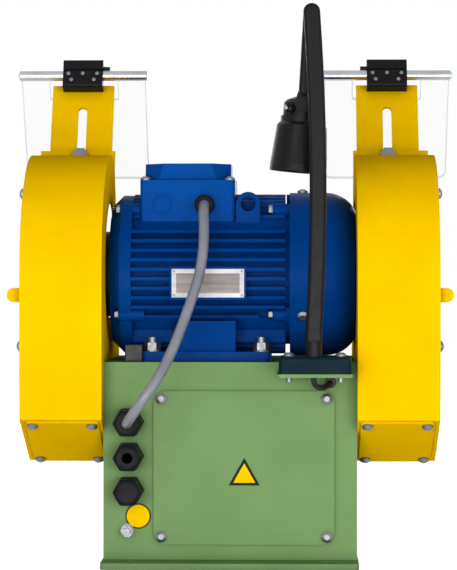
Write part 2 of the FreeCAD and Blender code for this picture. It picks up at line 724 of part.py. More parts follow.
def push_button_bodies():
    """Collar, barrel and contact block of each push button, bored for the stem."""
    bodies = []
    for x in centred(0, BUTTON_SPACING):
        wall = V(x, FRONT, BUTTON_Z)
        inner = FRONT - CABINET_WALL
        collar = rod(BUTTON_COLLAR / 2, wall, wall + Y_AXIS * COLLAR_HEIGHT)
        barrel = rod(BUTTON_BARREL / 2, wall - Y_AXIS * CABINET_WALL, wall + Y_AXIS * COLLAR_HEIGHT)
        block = box(centred(x, BUTTON_BLOCK), (inner - BUTTON_BLOCK_DEPTH, inner),
                    centred(BUTTON_Z, BUTTON_BLOCK))
        depth = Y_AXIS * stem_bore_depth()
        bore = rod(BUTTON_STEM / 2 + FIT, wall - depth, wall + Y_AXIS * COLLAR_HEIGHT)
        bodies.append(fused(collar, barrel, block).cut(bore))
    return bodies


def stem_bore_depth():
    """Depth of the stem's bore below the wall: the stem, its travel and some room."""
    return BUTTON_BLOCK_DEPTH / 2 + BUTTON_TRAVEL


def push_button(x, cap_diameter, cap_height):
    """Button cap on its stem, standing off its collar."""
    under = FRONT + COLLAR_HEIGHT + CAP_STAND_OFF
    cap = rod(cap_diameter / 2, V(x, under, BUTTON_Z), V(x, under + cap_height, BUTTON_Z))
    rim = [edge for edge in cap.Edges if edge.CenterOfMass.y > under + cap_height - FIT]
    cap = cap.makeFillet(cap_height / 3, rim)
    root = FRONT - BUTTON_BLOCK_DEPTH / 2 + BUTTON_ROOM
    stem = rod(BUTTON_STEM / 2, V(x, root, BUTTON_Z), V(x, under, BUTTON_Z))
    return fused(cap, stem)


# Motor

def slabs(count, pitch, thickness):
    """Middles of evenly pitched slabs about zero, as pairs of limits."""
    first = -pitch * (count - 1) / 2
    return [centred(first + pitch * step, thickness) for step in range(count)]


def shield_bolt_angles():
    """Angles of the four end-shield bolts about the axis."""
    return [SHIELD_BOLT_ANGLE + 90 * step for step in range(4)]


def motor_foot():
    """Rear foot: a drilled plate and the web that carries it."""
    outer = -(FOOT_SPACING_Y / 2 + FOOT_EDGE)
    plate = box(centred(FOOT_CENTRE_X, FOOT_LENGTH), (outer, outer + FOOT_DEPTH),
                (BED_HEIGHT, BED_HEIGHT + FOOT_THICKNESS))
    plate = rounded(plate, FOOT_THICKNESS / 2, Z_AXIS)
    inner = outer + 1.5 * FOOT_DEPTH
    top = BED_HEIGHT + FOOT_THICKNESS + FOOT_WEB_HEIGHT
    left, right = centred(FOOT_CENTRE_X, FOOT_WEB)
    corners = [V(left, outer + FOOT_WEB_LOW, BED_HEIGHT), V(left, outer + FOOT_WEB_HIGH, top),
               V(left, inner, top), V(left, inner, BED_HEIGHT)]
    return plate.fuse(prism(corners, V(right - left, 0, 0)))


def housing_fins():
    """Level fins at the sides and upright fins above and below, cut to one round outline."""
    length = (HOUSING_LEFT, HOUSING_RIGHT)
    plates = []
    for low, high in slabs(FIN_COUNT, FIN_PITCH, FIN_THICKNESS):
        plates.append(box(length, (-FIN_RADIUS, FIN_RADIUS), (AXIS_Z + low, AXIS_Z + high)))
        plates.append(box(length, (low, high), (AXIS_Z - FIN_RADIUS, AXIS_Z + FIN_RADIUS)))
    outline = rod(FIN_RADIUS, V(HOUSING_LEFT, 0, AXIS_Z), V(HOUSING_RIGHT, 0, AXIS_Z))
    return [plate.common(outline) for plate in plates]


def box_pad():
    """Raised pad on top of the housing that the terminal box stands on."""
    margin = 2 * BOX_WALL
    return box((BOX_LEFT + margin, BOX_RIGHT - margin), centred(0, BOX_DEPTH - 2 * margin),
               (AXIS_Z + BOX_SKIRT, AXIS_Z + BOX_FLOOR))


def lifting_lug():
    """Eye beside the terminal box for lifting the motor."""
    back = -LUG_BACK
    centre = V(LUG_X, back, AXIS_Z + LUG_RISE)
    eye = rod(LUG_RADIUS, centre, centre + Y_AXIS * LUG_THICKNESS)
    web = box(centred(LUG_X, 2 * LUG_RADIUS), (back, back + LUG_THICKNESS),
              (AXIS_Z + BOX_SKIRT, AXIS_Z + LUG_RISE))
    return eye.fuse(web)


def stator_housing():
    """Cast housing: bored drum with fins, feet, pads, shield-bolt lugs and a lifting lug."""
    left = V(HOUSING_LEFT, 0, AXIS_Z)
    right = V(HOUSING_RIGHT, 0, AXIS_Z)
    drum = rod(HOUSING_RADIUS, left, right)
    body = drum.fuse(housing_fins())
    pocket = box((BOX_LEFT - SLIDE_PLAY, BOX_RIGHT + SLIDE_PLAY), centred(0, BOX_DEPTH + 2 * SLIDE_PLAY),
                 (AXIS_Z + BOX_SKIRT - SLIDE_PLAY, AXIS_Z + FIN_RADIUS + 1))
    body = body.cut(pocket.cut(drum))
    plate_middle = AXIS_Z - PLATE_DROP
    plate_pad = box(centred(PLATE_CENTRE_X, PLATE_WIDTH + 2 * PLATE_PAD_MARGIN),
                    (-PLATE_PAD_Y, -HOUSING_BORE),
                    centred(plate_middle, PLATE_HEIGHT + 2 * PLATE_PAD_MARGIN))
    foot = motor_foot()
    front_foot = foot.mirror(V(0, 0, 0), Y_AXIS)
    body = body.fuse([plate_pad, foot, front_foot, box_pad(), lifting_lug()])
    lugs = []
    cutters = [rod(HOUSING_BORE, left - X_AXIS, right + X_AXIS)]
    for angle in shield_bolt_angles():
        near = around_axis(HOUSING_LEFT, SHIELD_BOLT_RADIUS, angle)
        lugs.append(rod(SHIELD_LUG, near, near + X_AXIS * SHIELD_LUG_LENGTH).cut(pocket))
        cutters.append(rod(SCREW / 2 + SCREW_PLAY, near - X_AXIS, near + X_AXIS * (SHIELD_THREAD + FIT)))
        far = around_axis(HOUSING_RIGHT, SHIELD_BOLT_RADIUS, angle)
        seat = far - X_AXIS * SHIELD_LUG_LENGTH
        lugs.append(rod(SHIELD_LUG, seat, far))
        cutters.append(rod(SCREW / 2 + SCREW_PLAY, seat, far + X_AXIS))
        cutters.append(rod(SHIELD_LUG, seat - X_AXIS * SHIELD_LUG_LENGTH, seat))
    cutters += [bolt_hole(V(x, y, BED_HEIGHT), Z_AXIS) for x, y in foot_bolt_points()]
    centre = V(LUG_X, -LUG_BACK, AXIS_Z + LUG_RISE)
    cutters.append(rod(LUG_HOLE / 2, centre - Y_AXIS, centre + Y_AXIS * (LUG_THICKNESS + 1)))
    return body.fuse(lugs).cut(cutters).removeSplitter()


def stator_core():
    """Laminated ring in the housing's bore."""
    start = V(STATOR_LEFT, 0, AXIS_Z)
    end = V(STATOR_RIGHT, 0, AXIS_Z)
    return tube(HOUSING_BORE - FIT, ROTOR_RADIUS + AIR_GAP, start, end)


def windings():
    """End turns of the winding at each end of the stator core."""
    rings = []
    for x, step in ((STATOR_LEFT, -WINDING_REACH), (STATOR_RIGHT, WINDING_REACH)):
        start = V(x, 0, AXIS_Z)
        rings.append(tube(WINDING_OUTER, WINDING_INNER, start, start + X_AXIS * step))
    return rings


def bearing_spans():
    """Limits of the drive-end and fan-end bearings along the spindle."""
    drive = SHIELD_FACE + SHIELD_WALL
    fan = FAN_SHIELD_FACE - SHIELD_WALL / 2
    return (drive, drive + BEARING_WIDTH), (fan - BEARING_WIDTH, fan)


def drive_end_shield():
    """Smooth bevelled end cap on the left with the bearing's hub inside and four bolt lugs."""
    seat_start, seat_end = bearing_spans()[0]
    seat = BEARING_RADIUS + FIT
    hole = SHAFT_RADIUS + SHAFT_ROOM
    cap = turned(((HOUSING_LEFT, SHIELD_RADIUS), (SHIELD_FACE + SHIELD_BEVEL, SHIELD_RADIUS),
                  (SHIELD_FACE, SHIELD_RADIUS - SHIELD_BEVEL), (SHIELD_FACE, hole), (seat_start, hole),
                  (seat_start, seat), (seat_end, seat), (seat_end, seat + HUB_WALL),
                  (seat_start, seat + HUB_WALL), (seat_start, HOUSING_BORE), (HOUSING_LEFT, HOUSING_BORE)))
    lugs = []
    holes = []
    for angle in shield_bolt_angles():
        end = around_axis(HOUSING_LEFT, SHIELD_BOLT_RADIUS, angle)
        lugs.append(rod(SHIELD_LUG, end - X_AXIS * SHIELD_LUG_LENGTH, end))
        outside = end - X_AXIS * (SHIELD_DEPTH + 1)
        holes.append(rod(SCREW / 2 + SCREW_PLAY, outside, end))
        holes.append(rod(SCREW * FLATS_PER_SIZE, outside, end - X_AXIS * SHIELD_LUG_LENGTH))
    return cap.fuse(lugs).cut(holes).removeSplitter()


def cowl_screw_angles():
    """Angles of the screws round the fan cowl, one on top."""
    return [90 + 360 * step / COWL_SCREWS for step in range(COWL_SCREWS)]


def fan_end_shield():
    """Disc on the right with the bearing's hub and the lugs that carry the cowl."""
    seat_start, seat_end = bearing_spans()[1]
    seat = BEARING_RADIUS + FIT
    hole = SHAFT_RADIUS + SHAFT_ROOM
    disc = turned(((HOUSING_RIGHT, FAN_SHIELD_RADIUS), (FAN_SHIELD_FACE, FAN_SHIELD_RADIUS),
                   (FAN_SHIELD_FACE, hole), (seat_end, hole), (seat_end, seat), (seat_start, seat),
                   (seat_start, seat + HUB_WALL), (HOUSING_RIGHT, seat + HUB_WALL)))
    lug_top = COWL_RADIUS - COWL_WALL - FIT
    limit = rod(lug_top, V(HOUSING_RIGHT, 0, AXIS_Z), V(COWL_RIGHT, 0, AXIS_Z))
    lugs = []
    holes = []
    for angle in cowl_screw_angles():
        block = box((FAN_SHIELD_FACE - SHIELD_WALL, FAN_SHIELD_FACE + COWL_LUG_LENGTH),
                    centred(0, COWL_LUG_WIDTH),
                    (AXIS_Z + FAN_SHIELD_RADIUS - SHIELD_WALL, AXIS_Z + COWL_RADIUS))
        block.rotate(V(0, 0, AXIS_Z), X_AXIS, angle - 90)
        lugs.append(block.common(limit))
        outside = around_axis(COWL_SCREW_X, COWL_RADIUS, angle)
        inward = (V(COWL_SCREW_X, 0, AXIS_Z) - outside).normalize()
        holes.append(rod(SCREW / 2 + SCREW_PLAY, outside, outside + inward * (SCREW_LENGTH + 1)))
    for angle in shield_bolt_angles():
        end = around_axis(HOUSING_RIGHT, SHIELD_BOLT_RADIUS, angle)
        lugs.append(rod(SHIELD_LUG, end, V(FAN_SHIELD_FACE, end.y, end.z)).common(limit))
        holes.append(rod(SCREW / 2 + SCREW_PLAY, end - X_AXIS, end + X_AXIS * (SHIELD_THREAD + FIT)))
    return disc.fuse(lugs).cut(holes).removeSplitter()


def bearings():
    """Shielded ball bearings of both end shields."""
    rings = []
    for start, end in bearing_spans():
        rings.append(tube(BEARING_RADIUS, SHAFT_RADIUS + FIT, V(start, 0, AXIS_Z), V(end, 0, AXIS_Z)))
    return rings


def cowl_profile(radius, right, corner):
    """Half section of the cowl's outside or inside, rounded towards its closed end."""
    floor = AXIS_Z
    shoulder = V(right - corner, 0, floor + radius)
    bend = math.radians(45)
    middle = V(right - corner + corner * math.sin(bend), 0, floor + radius - corner + corner * math.cos(bend))
    nose = V(right, 0, floor + radius - corner)
    start = V(COWL_LEFT, 0, floor + radius)
    edges = Part.makePolygon([V(COWL_LEFT, 0, floor), start, shoulder]).Edges
    edges.append(Part.Arc(shoulder, middle, nose).toShape())
    edges += Part.makePolygon([nose, V(right, 0, floor), V(COWL_LEFT, 0, floor)]).Edges
    return Part.Face(Part.Wire(edges)).revolve(V(0, 0, floor), X_AXIS, 360)


def fan_cowl():
    """Pressed cowl over the fan: a rounded cup with a ring of air slots in its end."""
    outside = cowl_profile(COWL_RADIUS, COWL_RIGHT, COWL_CORNER)
    inside = cowl_profile(COWL_RADIUS - COWL_WALL, COWL_RIGHT - COWL_WALL, COWL_CORNER - COWL_WALL)
    start = COWL_RIGHT - 2 * COWL_WALL
    end = COWL_RIGHT + COWL_WALL
    cutters = [inside, rod(SHAFT_RADIUS + COWL_SHAFT_ROOM, V(start, 0, AXIS_Z), V(end, 0, AXIS_Z))]
    slot_outer = COWL_RADIUS - COWL_CORNER - COWL_SLOT_WIDTH
    for step in range(COWL_SLOTS):
        angle = 360 * (step + 0.5) / COWL_SLOTS
        slot = box((start, end), (COWL_SLOT_INNER, slot_outer), centred(AXIS_Z, COWL_SLOT_WIDTH))
        slot.rotate(V(0, 0, AXIS_Z), X_AXIS, angle)
        ends = []
        for radius in (COWL_SLOT_INNER, slot_outer):
            middle = around_axis(start, radius, angle)
            ends.append(rod(COWL_SLOT_WIDTH / 2, middle, V(end, middle.y, middle.z)))
        cutters.append(slot.fuse(ends))
    for angle in cowl_screw_angles():
        outside_point = around_axis(COWL_SCREW_X, COWL_RADIUS + 1, angle)
        inner_point = around_axis(COWL_SCREW_X, COWL_RADIUS - 2 * COWL_WALL, angle)
        cutters.append(rod(SCREW / 2 + SCREW_PLAY, outside_point, inner_point))
    return outside.cut(cutters)


def motor_screws():
    """End-shield bolts, cowl screws and the screws of the terminal box's lid."""
    screws = []
    length = SHIELD_LUG_LENGTH + SHIELD_THREAD
    for angle in shield_bolt_angles():
        for end in (HOUSING_LEFT, HOUSING_RIGHT):
            seat = around_axis(end - SHIELD_LUG_LENGTH, SHIELD_BOLT_RADIUS, angle)
            screws.append(hex_bolt(seat, -X_AXIS, length, SCREW))
    for angle in cowl_screw_angles():
        seat = around_axis(COWL_SCREW_X, COWL_RADIUS, angle)
        screws.append(pan_screw(seat, (seat - V(COWL_SCREW_X, 0, AXIS_Z)).normalize()))
    for x, y in lid_screw_points():
        screws.append(pan_screw(V(x, y, AXIS_Z + BOX_RIM + LID_FLANGE), Z_AXIS))
    return screws


def lid_screw_points():
    """Plan positions of the lid's corner screws."""
    inset = 2 * LID_SCREW_INSET
    return [(x, y) for x in centred(BOX_CENTRE_X, BOX_WIDTH - inset) for y in centred(0, BOX_DEPTH - inset)]


def terminal_box():
    """Open-topped box that slips over the housing's pad, with a skirt down to the drum."""
    outside = box((BOX_LEFT, BOX_RIGHT), centred(0, BOX_DEPTH), (AXIS_Z + BOX_SKIRT, AXIS_Z + BOX_RIM))
    outside = rounded(outside, BOX_CORNER, Z_AXIS)
    span_x = (BOX_LEFT + BOX_WALL, BOX_RIGHT - BOX_WALL)
    span_y = centred(0, BOX_DEPTH - 2 * BOX_WALL)
    upper = box(span_x, span_y, (AXIS_Z + BOX_FLOOR + BOX_WALL, AXIS_Z + BOX_RIM))
    rim = AXIS_Z + BOX_RIM
    posts = [rod(LID_SCREW_INSET, V(x, y, AXIS_Z + BOX_FLOOR), V(x, y, rim)) for x, y in lid_screw_points()]
    lower = box(span_x, span_y, (AXIS_Z + BOX_SKIRT, AXIS_Z + BOX_FLOOR))
    drum = rod(HOUSING_RADIUS + SLIDE_PLAY, V(BOX_LEFT - 1, 0, AXIS_Z), V(BOX_RIGHT + 1, 0, AXIS_Z))
    gland = V(BOX_GLAND_X, BOX_BACK, AXIS_Z + BOX_GLAND_RISE)
    bore = rod(LEAD_BORE, gland - Y_AXIS, gland + Y_AXIS * (BOX_WALL + 1))
    shell = outside.cut(upper.cut(posts)).cut([lower, drum, bore])
    depth = SCREW_LENGTH - LID_FLANGE + SCREW_PLAY
    holes = [rod(SCREW / 2 + SCREW_PLAY, V(x, y, rim - depth), V(x, y, rim)) for x, y in lid_screw_points()]
    return shell.cut(holes)


def cut_corner_outline(width, depth, cut, z):
    """Rectangle with its four corners cut off at 45 degrees."""
    a = width / 2
    b = depth / 2
    points = [(a - cut, -b), (a, cut - b), (a, b - cut), (a - cut, b),
              (cut - a, b), (-a, b - cut), (-a, cut - b), (cut - a, -b)]
    corners = [V(BOX_CENTRE_X + x, y, z) for x, y in points]
    return Part.makePolygon(corners + corners[:1])


def lid_crown(inset, low, high):
    """Block with leaning corner cuts, inset from the box's outline."""
    width = BOX_WIDTH - 2 * inset
    depth = BOX_DEPTH - 2 * inset
    return Part.makeLoft([cut_corner_outline(width, depth, LID_CUT_LOW, low),
                          cut_corner_outline(width, depth, LID_CUT_HIGH, high)], True, True)


def terminal_box_lid():
    """Lid: a flange with four screw corners and a crown whose corners lean in to clear them."""
    low = AXIS_Z + BOX_RIM
    flange = box((BOX_LEFT, BOX_RIGHT), centred(0, BOX_DEPTH), (low, low + LID_FLANGE))
    flange = rounded(flange, BOX_CORNER, Z_AXIS)
    crown = lid_crown(LID_CROWN_INSET, low + LID_FLANGE / 2, low + LID_HEIGHT)
    hollow = lid_crown(LID_CROWN_INSET + BOX_WALL, low - 1, low + LID_HEIGHT - BOX_WALL)
    holes = [bolt_hole(V(x, y, low), Z_AXIS, SCREW) for x, y in lid_screw_points()]
    return flange.fuse(crown).cut([hollow] + holes).removeSplitter()


def terminal_block():
    """Insulating block with six terminal studs on the box's floor."""
    width, depth, height = TERMINAL_BLOCK
    floor = AXIS_Z + BOX_FLOOR + BOX_WALL
    block = box(centred(BOX_CENTRE_X, width), centred(0, depth), (floor, floor + height / 2))
    studs = []
    for x in slabs(3, width / 3, 0):
        for y in (-depth / 4, depth / 4):
            foot = V(BOX_CENTRE_X + x[0], y, floor + height / 4)
            studs.append(rod(SCREW / 2, foot, V(foot.x, y, floor + height)))
    return block.fuse(studs)


def terminal_gland():
    """Rubber-lined gland where the motor lead leaves the terminal box."""
    wall = V(BOX_GLAND_X, BOX_BACK, AXIS_Z + BOX_GLAND_RISE)
    ring = rod(BOX_GLAND_RADIUS, wall - Y_AXIS * BOX_GLAND_LENGTH, wall)
    rim = [edge for edge in ring.Edges if edge.CenterOfMass.y < BOX_BACK - BOX_GLAND_LENGTH + FIT]
    bore = rod(LEAD_BORE, wall - Y_AXIS * BOX_GLAND_LENGTH, wall)
    return ring.makeFillet(BOX_GLAND_LENGTH / 3, rim).cut(bore)


def motor_lead():
    """Lead from the terminal box's gland to the top gland of the cabinet."""
    upper = V(BOX_GLAND_X, BOX_BACK - BOX_LEAD_GAP, AXIS_Z + BOX_GLAND_RISE)
    lower = V(GLAND_X, REAR - GLAND_LEAD_GAP, GLAND_TOP_Z)
    return lead(fitted(MOTOR_LEAD_ROUTE, upper, lower), MOTOR_LEAD)


def nameplate():
    """Bare plate on the housing's rear pad."""
    return box(centred(PLATE_CENTRE_X, PLATE_WIDTH), (-PLATE_PAD_Y - PLATE_THICKNESS, -PLATE_PAD_Y),
               centred(AXIS_Z - PLATE_DROP, PLATE_HEIGHT))


def foot_bolts():
    """Bolts up through the bed and the feet, with washers and nuts on top."""
    pieces = []
    ring = BOLT * WASHER_PER_SIZE
    top = BED_HEIGHT + FOOT_THICKNESS
    length = BED_THICKNESS + FOOT_THICKNESS + ring + BOLT * NUT_PER_SIZE + THREAD_TAIL
    for x, y in foot_bolt_points():
        pieces.append(hex_bolt(V(x, y, BED_HEIGHT - BED_THICKNESS), -Z_AXIS, length))
        pieces.append(washer(V(x, y, top), Z_AXIS))
        pieces.append(hex_nut(V(x, y, top + ring), Z_AXIS))
    return pieces


# Spindle

def shaft():
    """Double-ended stepped shaft."""
    return turned(((-SHAFT_END, 0), (-SHAFT_END, SHAFT_END_RADIUS), (-SHOULDER, SHAFT_END_RADIUS),
                   (-SHOULDER, SHAFT_RADIUS), (STATOR_LEFT, SHAFT_RADIUS), (STATOR_LEFT, ROTOR_SEAT_RADIUS),
                   (STATOR_RIGHT, ROTOR_SEAT_RADIUS), (STATOR_RIGHT, SHAFT_RADIUS), (SHOULDER, SHAFT_RADIUS),
                   (SHOULDER, SHAFT_END_RADIUS), (SHAFT_END, SHAFT_END_RADIUS), (SHAFT_END, 0)))


def rotor_core():
    """Squirrel-cage rotor on the shaft."""
    return tube(ROTOR_RADIUS, ROTOR_SEAT_RADIUS + FIT, V(STATOR_LEFT, 0, AXIS_Z), V(STATOR_RIGHT, 0, AXIS_Z))


def cooling_fan():
    """Radial fan: hub, back plate and straight blades."""
    back = V(FAN_LEFT, 0, AXIS_Z)
    hub = rod(FAN_HUB, back, back + X_AXIS * FAN_WIDTH)
    plate = rod(FAN_RADIUS, back, back + X_AXIS * FAN_BLADE)
    blades = []
    for step in range(FAN_BLADES):
        blade = box((FAN_LEFT, FAN_LEFT + FAN_WIDTH), (FAN_HUB / 2, FAN_RADIUS), centred(AXIS_Z, FAN_BLADE))
        blade.rotate(V(0, 0, AXIS_Z), X_AXIS, 360 * step / FAN_BLADES)
        blades.append(blade)
    limit = rod(FAN_RADIUS, back, back + X_AXIS * FAN_WIDTH)
    bore = rod(SHAFT_RADIUS + FIT, back - X_AXIS, back + X_AXIS * (FAN_WIDTH + 1))
    return hub.fuse([plate] + blades).common(limit).cut(bore).removeSplitter()


def grinding_wheel():
    """Right-hand straight wheel."""
    return tube(WHEEL_RADIUS, WHEEL_BORE, V(WHEEL_INNER, 0, AXIS_Z), V(WHEEL_OUTER, 0, AXIS_Z))


def wheel_flanges():
    """Right-hand inner flange with the wheel's sleeve, and the outer flange."""
    bore = SHAFT_END_RADIUS + FIT
    ring = FLANGE_RADIUS - FLANGE_LAND
    sleeve = WHEEL_BORE - FIT
    back = ring - FLANGE_LAND / 2
    inner = turned(((SHOULDER, bore), (SHOULDER, back), (SHOULDER + HUB_FLANGE / 2, FLANGE_RADIUS),
                    (WHEEL_INNER, FLANGE_RADIUS), (WHEEL_INNER, ring), (WHEEL_INNER - FLANGE_RELIEF, ring),
                    (WHEEL_INNER - FLANGE_RELIEF, sleeve), (WHEEL_OUTER - FLANGE_RELIEF, sleeve),
                    (WHEEL_OUTER - FLANGE_RELIEF, bore)))
    face = WHEEL_OUTER + OUTER_FLANGE
    outer = turned(((WHEEL_OUTER, FLANGE_RADIUS), (WHEEL_OUTER, ring), (WHEEL_OUTER + FLANGE_RELIEF, ring),
                    (WHEEL_OUTER + FLANGE_RELIEF, bore), (face, bore), (face, back),
                    (face - OUTER_FLANGE / 2, FLANGE_RADIUS)))
    return [inner, outer]


def spindle_nut():
    """Right-hand nut that clamps the wheel."""
    bore = rod(SHAFT_END_RADIUS + FIT, V(0, 0, 0), V(0, 0, SPINDLE_NUT))
    nut = hexagon(SPINDLE_NUT_FLATS, SPINDLE_NUT).cut(bore)
    return placed(nut, V(WHEEL_OUTER + OUTER_FLANGE, 0, AXIS_Z), X_AXIS)


# Wheel guards, right-hand

def tilted(shape):
    """Turns a shape made upright above the axis into the plane at the top of the guard's mouth."""
    shape.rotate(V(0, 0, AXIS_Z), X_AXIS, -MOUTH_TILT)
    return shape


def guard_run(x):
    """Edges of the guard's wall from the top of the mouth over the rear and down to the front."""
    top = around_axis(x, GUARD_RADIUS, 90 - MOUTH_TILT)
    crown = around_axis(x, GUARD_RADIUS, 180 - MOUTH_TILT)
    rear = V(x, -GUARD_RADIUS, AXIS_Z)
    corners = [rear, V(x, -GUARD_RADIUS, HOPPER_TOP), V(x, -HOPPER_FLOOR, HOPPER_BOTTOM),
               V(x, HOPPER_FLOOR, HOPPER_BOTTOM), V(x, GUARD_FRONT, HOPPER_TOP), V(x, GUARD_FRONT, MOUTH_LOW)]
    return [Part.Arc(top, crown, rear).toShape()] + Part.makePolygon(corners).Edges


def guard_plate(x, thickness):
    """Flat sheet with the guard's whole outline, its mouth cut straight."""
    edges = guard_run(x)
    start = edges[0].Vertexes[0].Point
    end = edges[-1].Vertexes[-1].Point
    outline = Part.Wire(edges + [Part.LineSegment(end, start).toShape()])
    return Part.Face(outline).extrude(V(thickness, 0, 0))


def guard_rim():
    """Rolled and folded wall between the two side sheets."""
    solid = guard_plate(SIDE, GUARD_WIDTH)
    outline = Part.Wire(guard_run(SIDE)).makeOffset2D(-GUARD_SHEET, 2, False, True, False)
    edges = outline.Edges
    ends = [vertex.Point for vertex in outline.OrderedVertexes]
    first, last = ends[0], ends[-1]
    out = Y_AXIS * REACH
    closing = Part.makePolygon([last, last + out, first + out, first])
    space = Part.Face(Part.Wire(edges + closing.Edges)).extrude(V(GUARD_WIDTH, 0, 0))
    return solid.cut(space)


def hopper_frame():
    """Start, along-slope and outward directions and length of the hopper's rear slope."""
    start = V(0, -GUARD_RADIUS, HOPPER_TOP)
    end = V(0, -HOPPER_FLOOR, HOPPER_BOTTOM)
    along = (end - start).normalize()
    return start, along, along.cross(X_AXIS), (end - start).Length


def slope_sheet(inset, low, high, corner):
    """Sheet lying along the hopper's slope between two heights over its outside."""
    start, along, outward, length = hopper_frame()
    sheet = box((SIDE + inset, GUARD_OUTER - inset), (inset, length - inset), (-high, -low))
    if corner:
        sheet = rounded(sheet, corner, Z_AXIS)
    sheet.Placement = FreeCAD.Placement(start, FreeCAD.Rotation(X_AXIS, along, -outward, "XYZ"))
    return sheet


def hopper_screw_points():
    """Points on the slope's outside where the hopper cover's screws go."""
    start, along, outward, length = hopper_frame()
    inset = HOPPER_SCREW_INSET
    return [start + along * distance + X_AXIS * x for distance in (inset, length - inset)
            for x in (SIDE + inset, GUARD_OUTER - inset)]


def arm_way():
    """Cutter in front of the rim's end, where the shield arm slides down."""
    return tilted(box((SIDE + GUARD_SHEET, GUARD_OUTER), (0, ARM_THICKNESS * 2),
                      (AXIS_Z + GUARD_RADIUS - 4 * GUARD_SHEET, AXIS_Z + LIP_REACH)))


def guard():
    """Welded guard: inner plate, rim, lip for the shield arm, tabs for the side cover."""
    inner = guard_plate(SIDE, GUARD_SHEET)
    lip = tilted(box((SIDE, GUARD_OUTER), (-LIP_THICKNESS, 0),
                     (AXIS_Z + GUARD_RADIUS - GUARD_SHEET, AXIS_Z + LIP_REACH)))
    inside = guard_plate(SIDE, GUARD_WIDTH)
    tabs = []
    for y, z in COVER_SCREW_POINTS:
        tab = box((GUARD_OUTER - 2 * GUARD_SHEET, GUARD_OUTER), centred(y, COVER_TAB), centred(z, COVER_TAB))
        tabs.append(tab.common(inside))
    body = inner.fuse([guard_rim(), lip] + tabs)
    cutters = [rod(GUARD_OPENING, V(SIDE - 1, 0, AXIS_Z), V(SIDE + GUARD_SHEET + 1, 0, AXIS_Z))]
    cutters.append(slope_sheet(HOPPER_HOLE_INSET, -2 * GUARD_SHEET, GUARD_SHEET, 0))
    cutters += [bolt_hole(V(SIDE, y, z), X_AXIS) for y, z in GUARD_BOLT_POINTS]
    cutters += [bolt_hole(V(GUARD_OUTER, y, z), X_AXIS, SCREW) for y, z in COVER_SCREW_POINTS]
    normal = hopper_frame()[2]
    cutters += [bolt_hole(point, normal, SCREW) for point in hopper_screw_points()]
    cutters += [tilted(bolt_hole(V(WHEEL_CENTRE, 0, AXIS_Z + ARM_BOLT_AT), Y_AXIS)), arm_way()]
    cutters += [bolt_hole(point, Y_AXIS) for point in bracket_bolt_points()]
    return body.cut(cutters).removeSplitter()


def side_cover():
    """Flat outer cover with its welded ear."""
    sheet = guard_plate(GUARD_OUTER, COVER_SHEET)
    face = GUARD_OUTER + COVER_SHEET
    middle = AXIS_Z - EAR_DROP
    root = box((face - COVER_SHEET / 2, face + EAR_REACH - EAR_RADIUS), centred(EAR_Y, EAR_THICKNESS),
               centred(middle, 2 * EAR_RADIUS))
    tip = V(face + EAR_REACH - EAR_RADIUS, EAR_Y - EAR_THICKNESS / 2, middle)
    ear = root.fuse(rod(EAR_RADIUS, tip, tip + Y_AXIS * EAR_THICKNESS))
    holes = [bolt_hole(V(GUARD_OUTER, y, z), X_AXIS, SCREW) for y, z in COVER_SCREW_POINTS]
    return sheet.fuse(ear).cut(holes).removeSplitter()


def hopper_cover():
    """Cleaning cover on the hopper's rear slope."""
    sheet = slope_sheet(HOPPER_COVER_INSET, 0, COVER_SHEET, HOPPER_COVER_INSET)
    normal = hopper_frame()[2]
    return sheet.cut([bolt_hole(point, normal, SCREW) for point in hopper_screw_points()])


def guard_screws():
    """Screws of the side cover and of the hopper cover."""
    face = GUARD_OUTER + COVER_SHEET
    screws = [pan_screw(V(face, y, z), X_AXIS) for y, z in COVER_SCREW_POINTS]
    outward = hopper_frame()[2]
    screws += [pan_screw(point + outward * COVER_SHEET, outward) for point in hopper_screw_points()]
    return screws


def bracket_bolt_points():
    """Points on the guard's front wall where the tool rest's bracket is bolted."""
    low = LEDGE_TOP - BRACKET_LEG + BRACKET_BOLT_RISE
    return [V(x, GUARD_FRONT, low) for x in centred(WHEEL_CENTRE, BRACKET_WIDTH / 2)]


def guard_bolts():
    """Bolts of the guard, the shield arm, the tool rest and its bracket, with their nuts."""
    nut = BOLT * NUT_PER_SIZE
    ring = BOLT * WASHER_PER_SIZE
    pieces = []
    for y, z in GUARD_BOLT_POINTS:
        length = GUARD_SHEET + CABINET_WALL + nut + THREAD_TAIL
        pieces.append(hex_bolt(V(SIDE + GUARD_SHEET, y, z), X_AXIS, length))
        pieces.append(hex_nut(V(SIDE - CABINET_WALL, y, z), -X_AXIS))
    centre = V(WHEEL_CENTRE, 0, AXIS_Z + ARM_BOLT_AT)
    front = Y_AXIS * (ARM_THICKNESS + 2 * ARM_GAP)
    grip = LIP_THICKNESS + front.y + ring + nut + THREAD_TAIL
    pieces.append(tilted(hex_bolt(centre - Y_AXIS * LIP_THICKNESS, -Y_AXIS, grip)))
    pieces.append(tilted(washer(centre + front, Y_AXIS)))
    pieces.append(tilted(hex_nut(centre + front + Y_AXIS * ring, Y_AXIS)))
    for point in bracket_bolt_points():
        outside = point + Y_AXIS * BRACKET_PLATE
        pieces.append(hex_bolt(outside, Y_AXIS, BRACKET_PLATE + GUARD_SHEET + nut + THREAD_TAIL))
        pieces.append(hex_nut(point - Y_AXIS * GUARD_SHEET, -Y_AXIS))
    top = V(WHEEL_CENTRE, REST_BOLT_Y, REST_TOP + 2 * ARM_GAP)
    length = REST_THICKNESS + 2 * ARM_GAP + BRACKET_PLATE + ring + nut + THREAD_TAIL
    pieces.append(washer(top, Z_AXIS))
    pieces.append(hex_bolt(top + Z_AXIS * ring, Z_AXIS, length))
    pieces.append(hex_nut(V(WHEEL_CENTRE, REST_BOLT_Y, LEDGE_TOP - BRACKET_PLATE), -Z_AXIS))
    return pieces


# Shield arms, right-hand

